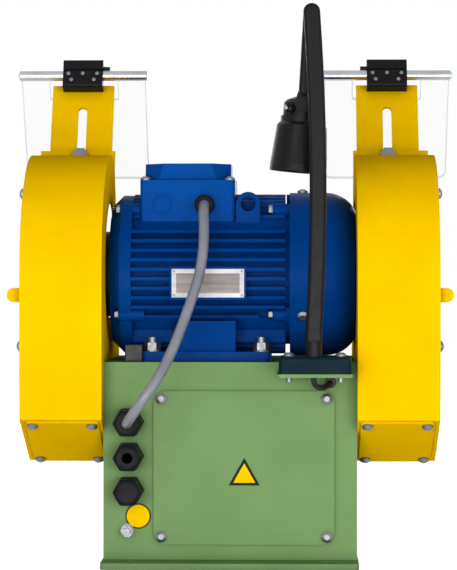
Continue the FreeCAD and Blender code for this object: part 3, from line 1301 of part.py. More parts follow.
def shield_arm():
    """Slotted strap in front of the guard's lip, its foot close to the wheel."""
    strap = box(centred(WHEEL_CENTRE, ARM_WIDTH), (ARM_GAP, ARM_GAP + ARM_THICKNESS),
                (AXIS_Z + ARM_FOOT, AXIS_Z + ARM_TOP))
    half = BOLT / 2 + SLIDE_PLAY
    low = AXIS_Z + ARM_SLOT_LOW + half
    high = AXIS_Z + ARM_SLOT_HIGH - half
    through = (-1, ARM_THICKNESS + 1)
    cutters = [box(centred(WHEEL_CENTRE, 2 * half), through, (low, high))]
    for z in (low, high):
        cutters.append(rod(half, V(WHEEL_CENTRE, through[0], z), V(WHEEL_CENTRE, through[1], z)))
    return tilted(strap.cut(cutters))


def rod_centre():
    """Centre of the shield rod."""
    turn = math.radians(MOUTH_TILT)
    return V(WHEEL_CENTRE, ROD_AT * math.sin(turn) + ROD_OFFSET * math.cos(turn),
             AXIS_Z + ROD_AT * math.cos(turn) - ROD_OFFSET * math.sin(turn))


def hinge_block():
    """Split clamp on the arm's rear face that grips the shield rod."""
    block = box(centred(WHEEL_CENTRE, BLOCK_WIDTH), (ARM_GAP - BLOCK_THICKNESS, ARM_GAP),
                (AXIS_Z + BLOCK_LOW, AXIS_Z + BLOCK_HIGH))
    block = rounded(block, BLOCK_ROUND, X_AXIS)
    slit = box(centred(WHEEL_CENTRE, BLOCK_WIDTH + 2), (-BLOCK_THICKNESS - 1, ROD_OFFSET),
               (AXIS_Z + ROD_AT + ROD_RADIUS / 2, AXIS_Z + ROD_AT + ROD_RADIUS / 2 + BLOCK_SLIT))
    centre = V(WHEEL_CENTRE, ROD_OFFSET, AXIS_Z + ROD_AT)
    bore = rod(ROD_RADIUS + FIT, centre - X_AXIS * BLOCK_WIDTH, centre + X_AXIS * BLOCK_WIDTH)
    return tilted(block.cut([slit, bore]))


def shield_rod():
    """Round rod with a slot at each end that the shield's sheet sits in."""
    centre = rod_centre()
    half = X_AXIS * (ROD_LENGTH / 2)
    bar = rod(ROD_RADIUS, centre - half, centre + half)
    bar = bar.makeChamfer(ROD_CHAMFER, [edge for edge in bar.Edges if edge.Closed])
    tab = (SHIELD_WIDTH - SHIELD_NOTCH) / 2
    slots = []
    for side in (-1, 1):
        middle = WHEEL_CENTRE + side * (SHIELD_WIDTH - tab) / 2
        slots.append(box(centred(middle, tab + 2 * FIT), centred(centre.y, SHIELD_SHEET + 2 * FIT),
                         (centre.z - 2 * ROD_RADIUS, centre.z - ROD_RADIUS + SHIELD_SEAT)))
    bar = bar.cut(slots)
    bar.rotate(centre, X_AXIS, SHIELD_TILT)
    return bar


def eye_shield():
    """Clear sheet that hangs from the rod, notched round the arm and its block."""
    centre = rod_centre()
    top = centre.z - ROD_RADIUS + SHIELD_SEAT
    sheet = box(centred(WHEEL_CENTRE, SHIELD_WIDTH), centred(centre.y, SHIELD_SHEET),
                (top - SHIELD_LENGTH, top))
    corners = [edge for edge in sheet.Edges if abs(edge.tangentAt(edge.FirstParameter).y) > 0.999
               and edge.CenterOfMass.z < top - SHIELD_LENGTH / 2]
    sheet = sheet.makeFillet(SHIELD_CORNER, corners)
    notch = box(centred(WHEEL_CENTRE, SHIELD_NOTCH), centred(centre.y, 2 * SHIELD_SHEET),
                (top - SHIELD_NOTCH_DEPTH, top + 1))
    sheet = sheet.cut(notch)
    sheet.rotate(centre, X_AXIS, SHIELD_TILT)
    return sheet


# Tool rests, right-hand

def rest_bracket():
    """Angle bolted to the guard's front wall, its ledge under the tool rest."""
    span = centred(WHEEL_CENTRE, BRACKET_WIDTH)
    leg = box(span, (GUARD_FRONT, GUARD_FRONT + BRACKET_PLATE), (LEDGE_TOP - BRACKET_LEG, LEDGE_TOP))
    ledge = box(span, (GUARD_FRONT, GUARD_FRONT + BRACKET_LEDGE), (LEDGE_TOP - BRACKET_PLATE, LEDGE_TOP))
    inside_bend = V(span[0], GUARD_FRONT + BRACKET_PLATE, LEDGE_TOP - BRACKET_PLATE)
    size = 2 * BRACKET_PLATE
    corners = [inside_bend, inside_bend + Y_AXIS * size, inside_bend - Z_AXIS * size]
    gusset = prism(corners, V(BRACKET_PLATE, 0, 0))
    other = gusset.translated(V(BRACKET_WIDTH - BRACKET_PLATE, 0, 0))
    holes = [bolt_hole(point, Y_AXIS) for point in bracket_bolt_points()]
    holes.append(bolt_hole(V(WHEEL_CENTRE, REST_BOLT_Y, LEDGE_TOP), Z_AXIS))
    return fused(leg, ledge, gusset, other).cut(holes)


def tool_rest():
    """Table with a mouth round the wheel's edge and a slot for its clamping bolt."""
    table = box(centred(WHEEL_CENTRE, REST_WIDTH), (REST_BACK, REST_FRONT),
                (LEDGE_TOP + ARM_GAP, REST_TOP + ARM_GAP))
    table = rounded(table, REST_ROUND, Z_AXIS)
    low = LEDGE_TOP - 1
    high = REST_TOP + 1
    mouth = box(centred(WHEEL_CENTRE, WHEEL_WIDTH + 2 * REST_WHEEL_GAP),
                (REST_BACK - 1, WHEEL_RADIUS + REST_WHEEL_GAP), (low, high))
    half = BOLT / 2 + SLIDE_PLAY
    near = REST_BOLT_Y - REST_OUT
    far = REST_BOLT_Y + REST_IN
    cutters = [mouth, box(centred(WHEEL_CENTRE, 2 * half), (near, far), (low, high))]
    for y in (near, far):
        cutters.append(rod(half, V(WHEEL_CENTRE, y, low), V(WHEEL_CENTRE, y, high)))
    return table.cut(cutters)


# Work lamp

def lamp_shelf():
    """Shelf welded to the rear wall, drilled for the lamp's screws and its lead."""
    plate = box(centred(SHELF_CENTRE_X, SHELF_WIDTH), (SHELF_REAR, REAR),
                (SHELF_TOP - SHELF_THICKNESS, SHELF_TOP))
    corners = [edge for edge in plate.Edges if abs(edge.tangentAt(edge.FirstParameter).z) > 0.999
               and edge.CenterOfMass.y < SHELF_REAR + FIT]
    plate = plate.makeFillet(SHELF_CORNER, corners)
    holes = [bolt_hole(V(x, y, SHELF_TOP), Z_AXIS, SCREW) for x, y in lamp_screw_points()]
    return plate.cut(holes + [lamp_lead_bore()])


def lamp_lead_top():
    """Upper end of the lamp's lead, inside the lamp's base."""
    return V(LAMP_LEAD_X, REAR - LAMP_LEAD_OUT, SHELF_TOP + LAMP_LEAD_RISE)


def lamp_lead_bore():
    """Cutter for the hole that the lamp's lead comes up through."""
    top = lamp_lead_top()
    return rod(LAMP_LEAD / 2 + SLIDE_PLAY / 2, top - Z_AXIS * (LAMP_LEAD_RISE + 2 * SHELF_THICKNESS), top)


def lamp_base():
    """Moulded base block on the shelf with the socket of the swivel."""
    width = SHELF_WIDTH - 2 * LAMP_BASE_MARGIN
    block = box(centred(SHELF_CENTRE_X, width), (SHELF_REAR + LAMP_BASE_MARGIN, SHELF_REAR + LAMP_BASE_DEPTH),
                (SHELF_TOP, LAMP_BASE_TOP))
    block = rounded(block, LAMP_BASE_ROUND, Z_AXIS)
    rim = [edge for edge in block.Edges if edge.BoundBox.ZMin > LAMP_BASE_TOP - FIT]
    block = block.makeChamfer(LAMP_BASE_ROUND / 2, rim)
    top = V(LAMP_X, LAMP_Y, LAMP_BASE_TOP)
    socket = rod(SWIVEL_PIN + FIT, top - Z_AXIS * (SWIVEL_DEPTH + SLIDE_PLAY), top + Z_AXIS)
    holes = [bolt_hole(V(x, y, LAMP_BASE_TOP), Z_AXIS, SCREW) for x, y in lamp_screw_points()]
    return block.cut([socket, lamp_lead_bore()] + holes)


def side_edge(start, end, bow):
    """Straight edge between two points, or an arc whose middle is off the line by the vector bow."""
    if bow.Length < FIT:
        return Part.LineSegment(start, end).toShape()
    return Part.Arc(start, (start + end) / 2 + bow, end).toShape()


def link(start, start_half, end, end_half, y_limits, bow=0.0):
    """Flat bar with round ends between two points of one XZ plane, straight or bowed sideways."""
    near, far = y_limits
    depth = V(0, far - near, 0)
    first = V(start.x, near, start.z)
    second = V(end.x, near, end.z)
    along = (second - first).normalize()
    across = Y_AXIS.cross(along)
    corners = [first + across * start_half, second + across * end_half, second - across * end_half,
               first - across * start_half]
    edges = [side_edge(corners[0], corners[1], across * bow), side_edge(corners[1], corners[2], V(0, 0, 0)),
             side_edge(corners[2], corners[3], across * bow), side_edge(corners[3], corners[0], V(0, 0, 0))]
    bar = Part.Face(Part.Wire(edges)).extrude(depth)
    return fused(bar, rod(start_half, first, first + depth), rod(end_half, second, second + depth))


def rounded_rims(shape, radius, y_limits):
    """Rounds the edges that lie in a bar's two flat faces."""
    rims = [edge for edge in shape.Edges if edge.BoundBox.YLength < FIT
            and min(abs(edge.CenterOfMass.y - y) for y in y_limits) < FIT]
    return shape.makeFillet(radius, rims)


def lamp_lower_arm():
    """Upright arm on its swivel foot, tapering to the elbow, with the elbow's pin."""
    limits = centred(LAMP_Y, LAMP_ARM_THICKNESS)
    foot = V(LAMP_X, LAMP_Y, LAMP_BASE_TOP + SLIDE_PLAY)
    elbow = V(ELBOW_X, LAMP_Y, ELBOW_Z)
    start = foot + Z_AXIS * (ARM_RISE + ARM_FOOT_HALF)
    bar = link(start, ARM_FOOT_HALF, elbow, ELBOW_HALF, limits, LAMP_BOW)
    bar = rounded_rims(bar, LAMP_ARM_ROUND, limits)
    stand = rod(ARM_FOOT_HALF, foot, foot + Z_AXIS * ARM_RISE)
    root = rod(ARM_FOOT_HALF, foot, start)
    root = root.common(box(centred(LAMP_X, 2 * ARM_FOOT_HALF), limits, (foot.z, start.z)))
    pin = rod(SWIVEL_PIN, foot - Z_AXIS * SWIVEL_DEPTH, foot + Z_AXIS)
    far = limits[1] + JOINT_GAP + LAMP_ARM_THICKNESS
    elbow_pin = rod(JOINT_PIN, V(ELBOW_X, LAMP_Y, ELBOW_Z), V(ELBOW_X, far, ELBOW_Z))
    return fused(bar, stand, root, pin, elbow_pin)


def hung(shape):
    """Turns what is made straight below the elbow to the angle at which it hangs."""
    shape.rotate(V(ELBOW_X, 0, ELBOW_Z), Y_AXIS, LAMP_HANG)
    return shape


def upper_arm_limits():
    """Limits of the upper arm across the elbow's pin."""
    near = LAMP_Y + LAMP_ARM_THICKNESS / 2 + JOINT_GAP
    return near, near + LAMP_ARM_THICKNESS


def lamp_upper_arm():
    """Short arm beside the lower one, with the pin that the head turns on."""
    limits = upper_arm_limits()
    elbow = V(ELBOW_X, 0, ELBOW_Z)
    end = elbow - Z_AXIS * UPPER_ARM_LENGTH
    bar = rounded_rims(link(elbow, ELBOW_HALF, end, UPPER_ARM_HALF, limits), LAMP_ARM_ROUND, limits)
    bore = rod(JOINT_PIN + FIT, V(ELBOW_X, limits[0] - 1, ELBOW_Z), V(ELBOW_X, limits[1] + 1, ELBOW_Z))
    far = limits[1] + JOINT_GAP + LAMP_ARM_THICKNESS
    pin = rod(JOINT_PIN, V(end.x, limits[1] - 1, end.z), V(end.x, far, end.z))
    return hung(fused(bar.cut(bore), pin))


def head_turned(profile):
    """Solid of revolution about the head's axis from (radius, distance below the elbow) corners."""
    points = [V(ELBOW_X + radius, HEAD_Y, ELBOW_Z - below) for radius, below in profile]
    return Part.Face(Part.makePolygon(points + points[:1])).revolve(V(ELBOW_X, HEAD_Y, 0), Z_AXIS, 360)


def switch_mouth():
    """Mouth of the switch's bush on the left of the head's cap, before it is turned and hung."""
    return V(ELBOW_X - CAP_RADIUS - SWITCH_BUSH_LENGTH, HEAD_Y, ELBOW_Z - CAP_TOP - SWITCH_BELOW_CAP)


def switch_pivot():
    """Point in the bush where the switch's lever tips."""
    return switch_mouth() + X_AXIS * (SWITCH_BUSH_LENGTH - SWITCH_HOLE)


def switch_turned(shape):
    """Turns what is made on the left of the cap round to where the switch stands."""
    shape.rotate(V(ELBOW_X, HEAD_Y, 0), Z_AXIS, SWITCH_TURN)
    return shape


def lamp_head():
    """Cap of the lamp with the lug that turns on the arm and the switch's bush."""
    top = CAP_TOP - CAP_CROWN
    cap = head_turned(((0, top), (CAP_NECK, top), (CAP_RADIUS - CAP_CROWN, CAP_TOP),
                       (CAP_RADIUS, CAP_TOP + CAP_CROWN), (CAP_RADIUS, CAP_END), (0, CAP_END)))
    near = upper_arm_limits()[1] + JOINT_GAP
    limits = (near, near + LAMP_ARM_THICKNESS)
    pivot = V(ELBOW_X, 0, ELBOW_Z - UPPER_ARM_LENGTH)
    foot = V(ELBOW_X, 0, ELBOW_Z - CAP_TOP - CAP_CROWN)
    lug = link(pivot, UPPER_ARM_HALF, foot, CAP_NECK, limits)
    bore = rod(JOINT_PIN + FIT, V(ELBOW_X, near - 1, pivot.z), V(ELBOW_X, limits[1] + 1, pivot.z))
    mouth = switch_mouth()
    bush = rod(SWITCH_BUSH, mouth, mouth + X_AXIS * (SWITCH_BUSH_LENGTH + CAP_RADIUS / 2))
    hole = rod(SWITCH_HOLE, mouth - X_AXIS, mouth + X_AXIS * SWITCH_BUSH_LENGTH)
    across = Y_AXIS * (2 * SWITCH_BUSH)
    pin_hole = rod(SWITCH_PIN + FIT, switch_pivot() - across, switch_pivot() + across)
    bush = switch_turned(bush.cut(pin_hole))
    return hung(fused(cap, lug, bush).cut([bore, switch_turned(hole)]))


def lamp_shade():
    """Shade open at its mouth, its collar pushed over the cap."""
    collar = CAP_RADIUS + FIT
    start = CAP_END - SHADE_LAP
    shoulder = CAP_END + SHADE_SLOPE
    band = SHADE_MOUTH - SHADE_BAND
    outside = [(collar + SHADE_WALL, start), (collar + SHADE_WALL, CAP_END), (SHADE_SHOULDER, shoulder),
               (SHADE_RADIUS, band), (SHADE_RADIUS, SHADE_MOUTH)]
    inside = [(SHADE_RADIUS - SHADE_WALL, SHADE_MOUTH), (SHADE_RADIUS - SHADE_WALL, band),
              (SHADE_SHOULDER - SHADE_WALL, shoulder + SHADE_WALL), (collar, CAP_END + SHADE_WALL),
              (collar, start)]
    return hung(head_turned(outside + inside))


def ball_profile(centre, radius, first, last, steps):
    """(distance, radius) corners on a circle round an axis, between two angles from the axis."""
    angles = [math.radians(first + (last - first) * step / steps) for step in range(steps + 1)]
    return [(centre + radius * math.cos(angle), radius * math.sin(angle)) for angle in angles]


def lamp_bulb():
    """Bulb with its base against the cap."""
    neck = math.degrees(math.asin(BULB_BASE / BULB_RADIUS))
    centre = CAP_END + BULB_NECK + BULB_RADIUS * math.cos(math.radians(neck))
    globe = ball_profile(centre, BULB_RADIUS, 180 - neck, 0, BULB_STEPS)
    profile = [(0, CAP_END), (BULB_BASE, CAP_END)] + [(radius, below) for below, radius in globe]
    return hung(head_turned(profile))


def lamp_switch():
    """Toggle lever with a ball that tips in its bush on a pin, and a knob at its end."""
    pivot = switch_pivot()
    ball = SWITCH_HOLE - FIT
    root = 180 - math.degrees(math.asin(SWITCH_LEVER / ball))
    profile = [(pivot.x + ball * math.cos(math.radians(SWITCH_FLAT)), 0)]
    profile += ball_profile(pivot.x, ball, SWITCH_FLAT, 90, SWITCH_STEPS)
    profile += ball_profile(pivot.x, ball, 90, root, 1)[1:]
    end = switch_mouth().x - SWITCH_LENGTH
    neck = math.degrees(math.asin(SWITCH_LEVER / SWITCH_KNOB))
    profile += ball_profile(end, SWITCH_KNOB, neck, 180 - SWITCH_FLAT, SWITCH_STEPS)
    profile.append((end - SWITCH_KNOB * math.cos(math.radians(SWITCH_FLAT)), 0))
    lever = turned(profile, HEAD_Y, pivot.z)
    across = Y_AXIS * (SWITCH_BUSH - FIT)
    return hung(switch_turned(fused(lever, rod(SWITCH_PIN, pivot - across, pivot + across))))


def lamp_cable():
    """Lead from the lamp's base down and into the rear wall, with its moulded grommet."""
    inside = V(GROMMET_X, REAR + LAMP_LEAD_IN, GROMMET_Z)
    cable = lead(fitted(LAMP_LEAD_ROUTE, lamp_lead_top(), inside), LAMP_LEAD)
    wall = V(GROMMET_X, REAR, GROMMET_Z)
    grommet = rod(GROMMET_RADIUS, wall - Y_AXIS * CABINET_WALL, wall)
    return fused(cable, grommet)


def nodes():
    """Every node's name with its solid or solids."""
    right_only = {"guard": guard(), "shield_arm": shield_arm(), "hinge_block": hinge_block(),
                  "shield_rod": shield_rod(), "eye_shield": eye_shield(), "tool_rest": tool_rest()}
    handed = {}
    for name, shape in right_only.items():
        handed["right_" + name] = shape
        handed["left_" + name] = mirrored(shape)
    fixed = {
        "base_plate": base_plate(), "cabinet_shell": cabinet_shell(), "access_panel": access_panel(),
        "cabinet_screws": cabinet_screws(), "cable_glands": cable_glands(), "gland_nuts": gland_nuts(),
        "earth_stud": earth_stud(), "gear_plate": gear_plate(), "contactor": contactor(),
        "lamp_transformer": lamp_transformer(), "push_button_bodies": push_button_bodies(),
        "start_button": push_button(BUTTON_SPACING / 2, START_CAP, START_CAP_HEIGHT),
        "stop_button": push_button(-BUTTON_SPACING / 2, STOP_CAP, STOP_CAP_HEIGHT),
        "stator_housing": stator_housing(), "stator_core": stator_core(), "windings": windings(),
        "drive_end_shield": drive_end_shield(), "fan_end_shield": fan_end_shield(), "bearings": bearings(),
        "fan_cowl": fan_cowl(), "motor_screws": motor_screws(), "terminal_box": terminal_box(),
        "terminal_box_lid": terminal_box_lid(), "terminal_block": terminal_block(),
        "terminal_gland": terminal_gland(), "nameplate": nameplate(), "foot_bolts": foot_bolts(),
        "motor_lead": motor_lead(), "shaft": shaft(), "rotor_core": rotor_core(),
        "cooling_fan": cooling_fan(), "grinding_wheels": pair([grinding_wheel()]),
        "wheel_flanges": pair(wheel_flanges()), "spindle_nuts": pair([spindle_nut()]),
        "side_covers": pair([side_cover()]), "hopper_covers": pair([hopper_cover()]),
        "guard_screws": pair(guard_screws()), "guard_bolts": pair(guard_bolts()),
        "rest_brackets": pair([rest_bracket()]), "lamp_shelf": lamp_shelf(), "lamp_base": lamp_base(),
        "lamp_lower_arm": lamp_lower_arm(), "lamp_upper_arm": lamp_upper_arm(), "lamp_head": lamp_head(),
        "lamp_shade": lamp_shade(), "lamp_bulb": lamp_bulb(), "lamp_switch": lamp_switch(),
        "lamp_cable": lamp_cable()}
    return {**fixed, **handed}


def main():
    """Builds every node and writes its STEP file."""
    os.makedirs("parts", exist_ok=True)
    for name, content in nodes().items():
        shape = Part.makeCompound(content) if isinstance(content, list) else content
        shape.exportStep("parts/" + name + ".step")


main()
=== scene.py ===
"""Looks of the bench grinder: its materials, leads, small fittings, light and camera."""

import math

import bpy
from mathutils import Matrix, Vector


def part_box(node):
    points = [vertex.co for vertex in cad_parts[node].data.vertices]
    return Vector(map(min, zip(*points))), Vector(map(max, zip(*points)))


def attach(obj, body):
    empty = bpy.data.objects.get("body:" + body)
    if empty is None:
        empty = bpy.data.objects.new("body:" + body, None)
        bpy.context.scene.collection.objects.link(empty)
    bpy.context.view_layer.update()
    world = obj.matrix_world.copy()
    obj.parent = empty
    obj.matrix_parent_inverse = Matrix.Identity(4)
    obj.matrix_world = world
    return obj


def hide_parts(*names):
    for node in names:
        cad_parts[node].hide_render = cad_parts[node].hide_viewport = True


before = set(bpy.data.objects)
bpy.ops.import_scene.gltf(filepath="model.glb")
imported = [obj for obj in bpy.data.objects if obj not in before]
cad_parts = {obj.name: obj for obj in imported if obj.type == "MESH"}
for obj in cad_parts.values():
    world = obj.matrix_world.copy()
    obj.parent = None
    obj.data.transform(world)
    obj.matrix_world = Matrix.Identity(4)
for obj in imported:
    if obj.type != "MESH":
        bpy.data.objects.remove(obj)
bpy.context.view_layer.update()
scene = bpy.context.scene

# Units, directions (out is towards the camera) and the two sides of the object
MM = 0.001
ACROSS = Vector((1, 0, 0))
UP = Vector((0, 0, 1))
OUT = Vector((0, -1, 0))
HANDS = ((-1, "left"), (1, "right"))

# Camera, level with the spindle and right of the middle: metres, with the focal length in millimetres
CAMERA_AT = Vector((0.057, -2.2, 0.265))
CAMERA_AIM = Vector((-0.0039, 0.0, 0.2546))
FOCAL_LENGTH = 147.2

# Leads: control points of their centrelines in millimetres, as the part has them
MOTOR_LEAD_ROUTE = (
    (-24.7, -46.0, 329.0), (-24.7, -60.0, 329.0), (-24.5, -76.0, 324.0), (-23.8, -88.0, 312.0),
    (-23.4, -95.5, 296.0), (-24.8, -101.0, 278.0), (-28.2, -106.5, 260.0), (-33.8, -113.0, 242.5),
    (-40.2, -121.0, 224.0), (-47.0, -130.0, 205.0), (-54.5, -139.5, 187.5), (-62.5, -148.5, 172.5),
    (-71.0, -153.7, 160.0), (-79.9, -152.1, 147.4), (-87.3, -143.4, 136.9), (-91.5, -129.7, 131.0),
    (-91.5, -114.7, 131.0))
LAMP_LEAD_ROUTE = (
    (75.0, -112.0, 182.0), (75.0, -112.0, 171.0), (77.0, -109.5, 164.5), (82.5, -104.0, 162.0),
    (88.5, -98.5, 164.0), (91.0, -92.0, 167.0), (91.0, -86.0, 167.0))

# Leads: lengths and diameters in metres, and how finely their curves are drawn
MOTOR_LEAD_DIAMETER = 0.0095
LAMP_LEAD_DIAMETER = 0.005
LEAD_ORDER = 3
LEAD_STEPS = 6
LEAD_ROUNDNESS = 4

# Hinge blocks, in millimetres: across from the wheel's middle, and up from the spindle along the lean
AXIS_Z = 265.0
WHEEL_CENTRE = 148.5
MOUTH_TILT = math.radians(25.0)
BLOCK_FACE = -13.9
BLOCK_SCREWS = ((-14.0, 209.5), (0.0, 209.5), (14.0, 209.5), (-11.0, 202.5), (11.0, 202.5))
BLOCK_SCREW_RADIUS = 1.9
BLOCK_SCREW_HEIGHT = 1.6
BLOCK_SCREW_EDGE = 0.4
CLAMP_AT = 218.5
CLAMP_INSIDE = 6.0
CLAMP_START = 18.5
CLAMP_END = 26.0
CLAMP_RADIUS = 1.9
CLAMP_EDGE = 0.4

# Bare signs and nameplate, in millimetres
LABEL_THICKNESS = 0.35
TRIANGLE_X = 12.9
TRIANGLE_LOW = 73.7
TRIANGLE_HIGH = 98.5
TRIANGLE_WIDTH = 28.0
TRIANGLE_BORDER = 2.4
DISC_X = -83.3
DISC_Z = 45.5
DISC_RADIUS = 11.5
DISC_BORDER = 1.2
PLATE_BORDER = 4.0
RIVET_INSET = 2.0
RIVET_RADIUS = 1.2
RIVET_HEIGHT = 0.7
RIVET_EDGE = 0.4

# Fittings on the motor, the bed and the cabinet wall, in millimetres
KNOCK_OUT_X = -64.0
KNOCK_OUT_Z = 329.0
KNOCK_OUT_RADIUS = 9.0
KNOCK_OUT_WIDTH = 1.4
KNOCK_OUT_HEIGHT = 0.8
KNOCK_OUT_EDGE = 0.3
SEAL_RADIUS = 40.0
SEAL_BORE = 14.0
SEAL_LENGTH = 12.0
SEAL_EDGE = 1.0
FOOT_BLOCK_GAP = 0.5
FOOT_BLOCK_WIDTH = 16.0
FOOT_BLOCK_DEPTH = 22.0
FOOT_BLOCK_HEIGHT = 15.5
FOOT_BLOCK_REAR = -76.0
FOOT_BLOCK_EDGE = 1.0
GROMMET_RADIUS = 5.0
GROMMET_WALL = 2.0
GROMMET_EDGE = 0.6

# Sides of round fittings, and steps of a bevelled edge
DISC_SIDES = 32
SCREW_SIDES = 20
RIVET_SIDES = 16
RING_SIDES = 48
EDGE_STEPS = 2

# Colour sockets of the mix node, by number because others share their names, and samples per shading node
MIX_FIRST = 6
MIX_SECOND = 7
MIX_RESULT = 2
SHADING_SAMPLES = 4

# Directions of the fine lines on metal: they run where the share is small
PLAIN = (1.0, 1.0, 1.0)
TURNED = (1.0, 0.05, 0.05)
DRAWN = (0.04, 1.0, 1.0)
BRUSHED = (0.05, 1.0, 1.0)
STACKED = (3.0, 0.1, 0.1)

# Room, in metres; the floor's glow and the white world are for the rays that see the background
WHITE = (1.0, 1.0, 1.0, 1.0)
FLOOR_COLOUR = (0.9, 0.9, 0.9, 1.0)
FLOOR_ROUGHNESS = 0.9
FLOOR_HALF = 6.0
FLOOR_GLOW = 0.8
WORLD_LIGHT = 0.24

# Lights: name, place in metres, width and height in metres, power in watts
LIGHT_AIM = Vector((0.0, 0.0, 0.25))
LIGHTS = (
    ("key", (-0.9, -2.3, 0.7), (1.2, 1.2), 12.5),
    ("fill", (1.3, -2.1, 0.6), (1.2, 1.2), 10.0),
    ("low", (0.1, -1.9, 0.19), (1.6, 0.34), 10.5),
    ("floor_light", (0.0, -0.85, 0.02), (0.9, 0.12), 2.4),
    ("behind_left", (-1.2, 2.2, 0.7), (1.2, 1.2), 13.0),
    ("behind_right", (0.9, 2.3, 0.7), (1.2, 1.2), 17.0),
)


def metres(*point):
    """Millimetre coordinates as a point in metres."""
    return Vector(point) * MM


# Camera

def make_camera():
    """Camera that frames the object as the photograph does."""
    camera = bpy.data.objects.new("camera", bpy.data.cameras.new("camera"))
    scene.collection.objects.link(camera)
    camera.data.lens = FOCAL_LENGTH
    camera.location = CAMERA_AT
    camera.rotation_euler = (CAMERA_AIM - CAMERA_AT).to_track_quat("-Z", "Y").to_euler()
    scene.camera = camera


# Shader building blocks

def linear(red, green, blue):
    """Scene-linear colour from the 0 to 255 values seen on a screen, by the sRGB curve."""
    def channel(value):
        share = value / 255
        return share / 12.92 if share <= 0.04045 else ((share + 0.055) / 1.055) ** 2.4
    return channel(red), channel(green), channel(blue), 1.0


def scaled(colour, factor):
    """Colour made lighter or darker."""
    return tuple(min(1.0, value * factor) for value in colour[:3]) + (1.0,)


def blank(name):
    """New material with its node tree and its shader."""
    material = bpy.data.materials.new(name)
    material.use_nodes = True
    tree = material.node_tree
    return material, tree, tree.nodes["Principled BSDF"]


def noise(tree, scale, detail=2.0, stretch=PLAIN):
    """Noise over the object's own coordinates, in features per metre."""
    coordinates = tree.nodes.new("ShaderNodeTexCoord")
    mapping = tree.nodes.new("ShaderNodeMapping")
    mapping.inputs["Scale"].default_value = stretch
    texture = tree.nodes.new("ShaderNodeTexNoise")
    texture.inputs["Scale"].default_value = scale
    texture.inputs["Detail"].default_value = detail
    tree.links.new(coordinates.outputs["Object"], mapping.inputs["Vector"])
    tree.links.new(mapping.outputs["Vector"], texture.inputs["Vector"])
    return texture.outputs["Fac"]


def spread(tree, value, low, high, start=0.3, end=0.7):
    """Maps the range of a value from start to end onto low to high."""
    ranged = tree.nodes.new("ShaderNodeMapRange")
    ranged.inputs["From Min"].default_value = start
    ranged.inputs["From Max"].default_value = end
    ranged.inputs["To Min"].default_value = low
    ranged.inputs["To Max"].default_value = high
    tree.links.new(value, ranged.inputs["Value"])
    return ranged.outputs["Result"]


def clouds(tree, scale, detail):
    """Noise stretched to run over the whole range from nothing to one."""
    return spread(tree, noise(tree, scale, detail), low=0.0, high=1.0)


def mixed(tree, share, first, second):
    """Colour between two colours, each a fixed one or another node's output."""
    mix = tree.nodes.new("ShaderNodeMix")
    mix.data_type = "RGBA"
    tree.links.new(share, mix.inputs["Factor"])
    for socket, colour in ((mix.inputs[MIX_FIRST], first), (mix.inputs[MIX_SECOND], second)):
        if isinstance(colour, tuple):
            socket.default_value = colour
        else:
            tree.links.new(colour, socket)
    return mix.outputs[MIX_RESULT]


def edges(tree, radius, most):
    """Share that rises from nothing on flat faces to most on sharp edges."""
    bevel = tree.nodes.new("ShaderNodeBevel")
    bevel.samples = SHADING_SAMPLES
    bevel.inputs["Radius"].default_value = radius
    geometry = tree.nodes.new("ShaderNodeNewGeometry")
    likeness = tree.nodes.new("ShaderNodeVectorMath")
    likeness.operation = "DOT_PRODUCT"
    tree.links.new(bevel.outputs["Normal"], likeness.inputs[0])
    tree.links.new(geometry.outputs["Normal"], likeness.inputs[1])
    return spread(tree, likeness.outputs["Value"], low=most, high=0.0, start=0.8, end=0.98)


def painted_corner_shade(tree, reach, most):
    """Share of painted shade: rises from nothing in the open to most in corners and narrow gaps, where shade
    falls.
    """
    shade = tree.nodes.new("ShaderNodeAmbientOcclusion")
    shade.samples = SHADING_SAMPLES
    shade.inputs["Distance"].default_value = reach
    return spread(tree, shade.outputs["AO"], low=most, high=0.0, start=0.35, end=0.9)


def roughened(tree, shader, texture, least, most):
    """Lets a texture vary the shader's roughness."""
    tree.links.new(spread(tree, texture, low=least, high=most), shader.inputs["Roughness"])


def bumped(tree, shader, height, strength, distance=0.0004):
    """Presses a height into the shader's normal."""
    bump = tree.nodes.new("ShaderNodeBump")
    bump.inputs["Strength"].default_value = strength
    bump.inputs["Distance"].default_value = distance
    tree.links.new(height, bump.inputs["Height"])
    tree.links.new(bump.outputs["Normal"], shader.inputs["Normal"])


# Materials

def paint(name, colour, roughness=0.4, peel=0.12, wear=0.25, shine=0.2):
    """Sprayed paint: slight clouds, orange peel, paler edges, and painted shade that darkens its corners and
    narrow gaps.
    """
    material, tree, shader = blank(name)
    base = linear(*colour)
    tone = mixed(tree, clouds(tree, scale=16.0, detail=3.0), scaled(base, 0.94), scaled(base, 1.05))
    worn = mixed(tree, edges(tree, radius=0.0009, most=wear), tone, scaled(base, 1.7))
    # Painted shade: the colour darkened towards a third of itself in corners and narrow gaps, by the
    # occlusion share
    with_painted_shade = mixed(tree, painted_corner_shade(tree, reach=0.012, most=0.6), worn, scaled(base, 0.3))
    tree.links.new(with_painted_shade, shader.inputs["Base Color"])
    roughened(tree, shader, noise(tree, scale=80.0), roughness - 0.07, roughness + 0.07)
    shader.inputs["Specular IOR Level"].default_value = shine
    bumped(tree, shader, noise(tree, scale=620.0), strength=peel)
    return material


def plastic(name, colour, roughness=0.45, grain=0.1, shine=0.25):
    """Moulded plastic, rubber or enamel with a fine grain and rubbed edges."""
    material, tree, shader = blank(name)
    base = linear(*colour)
    tone = mixed(tree, clouds(tree, scale=40.0, detail=3.0), scaled(base, 0.85), scaled(base, 1.15))
    rubbed = mixed(tree, edges(tree, radius=0.0006, most=0.5), tone, scaled(base, 2.4))
    tree.links.new(rubbed, shader.inputs["Base Color"])
    roughened(tree, shader, noise(tree, scale=120.0), roughness - 0.08, roughness + 0.08)
    shader.inputs["Specular IOR Level"].default_value = shine
    bumped(tree, shader, noise(tree, scale=1500.0), strength=grain, distance=0.0002)
    return material


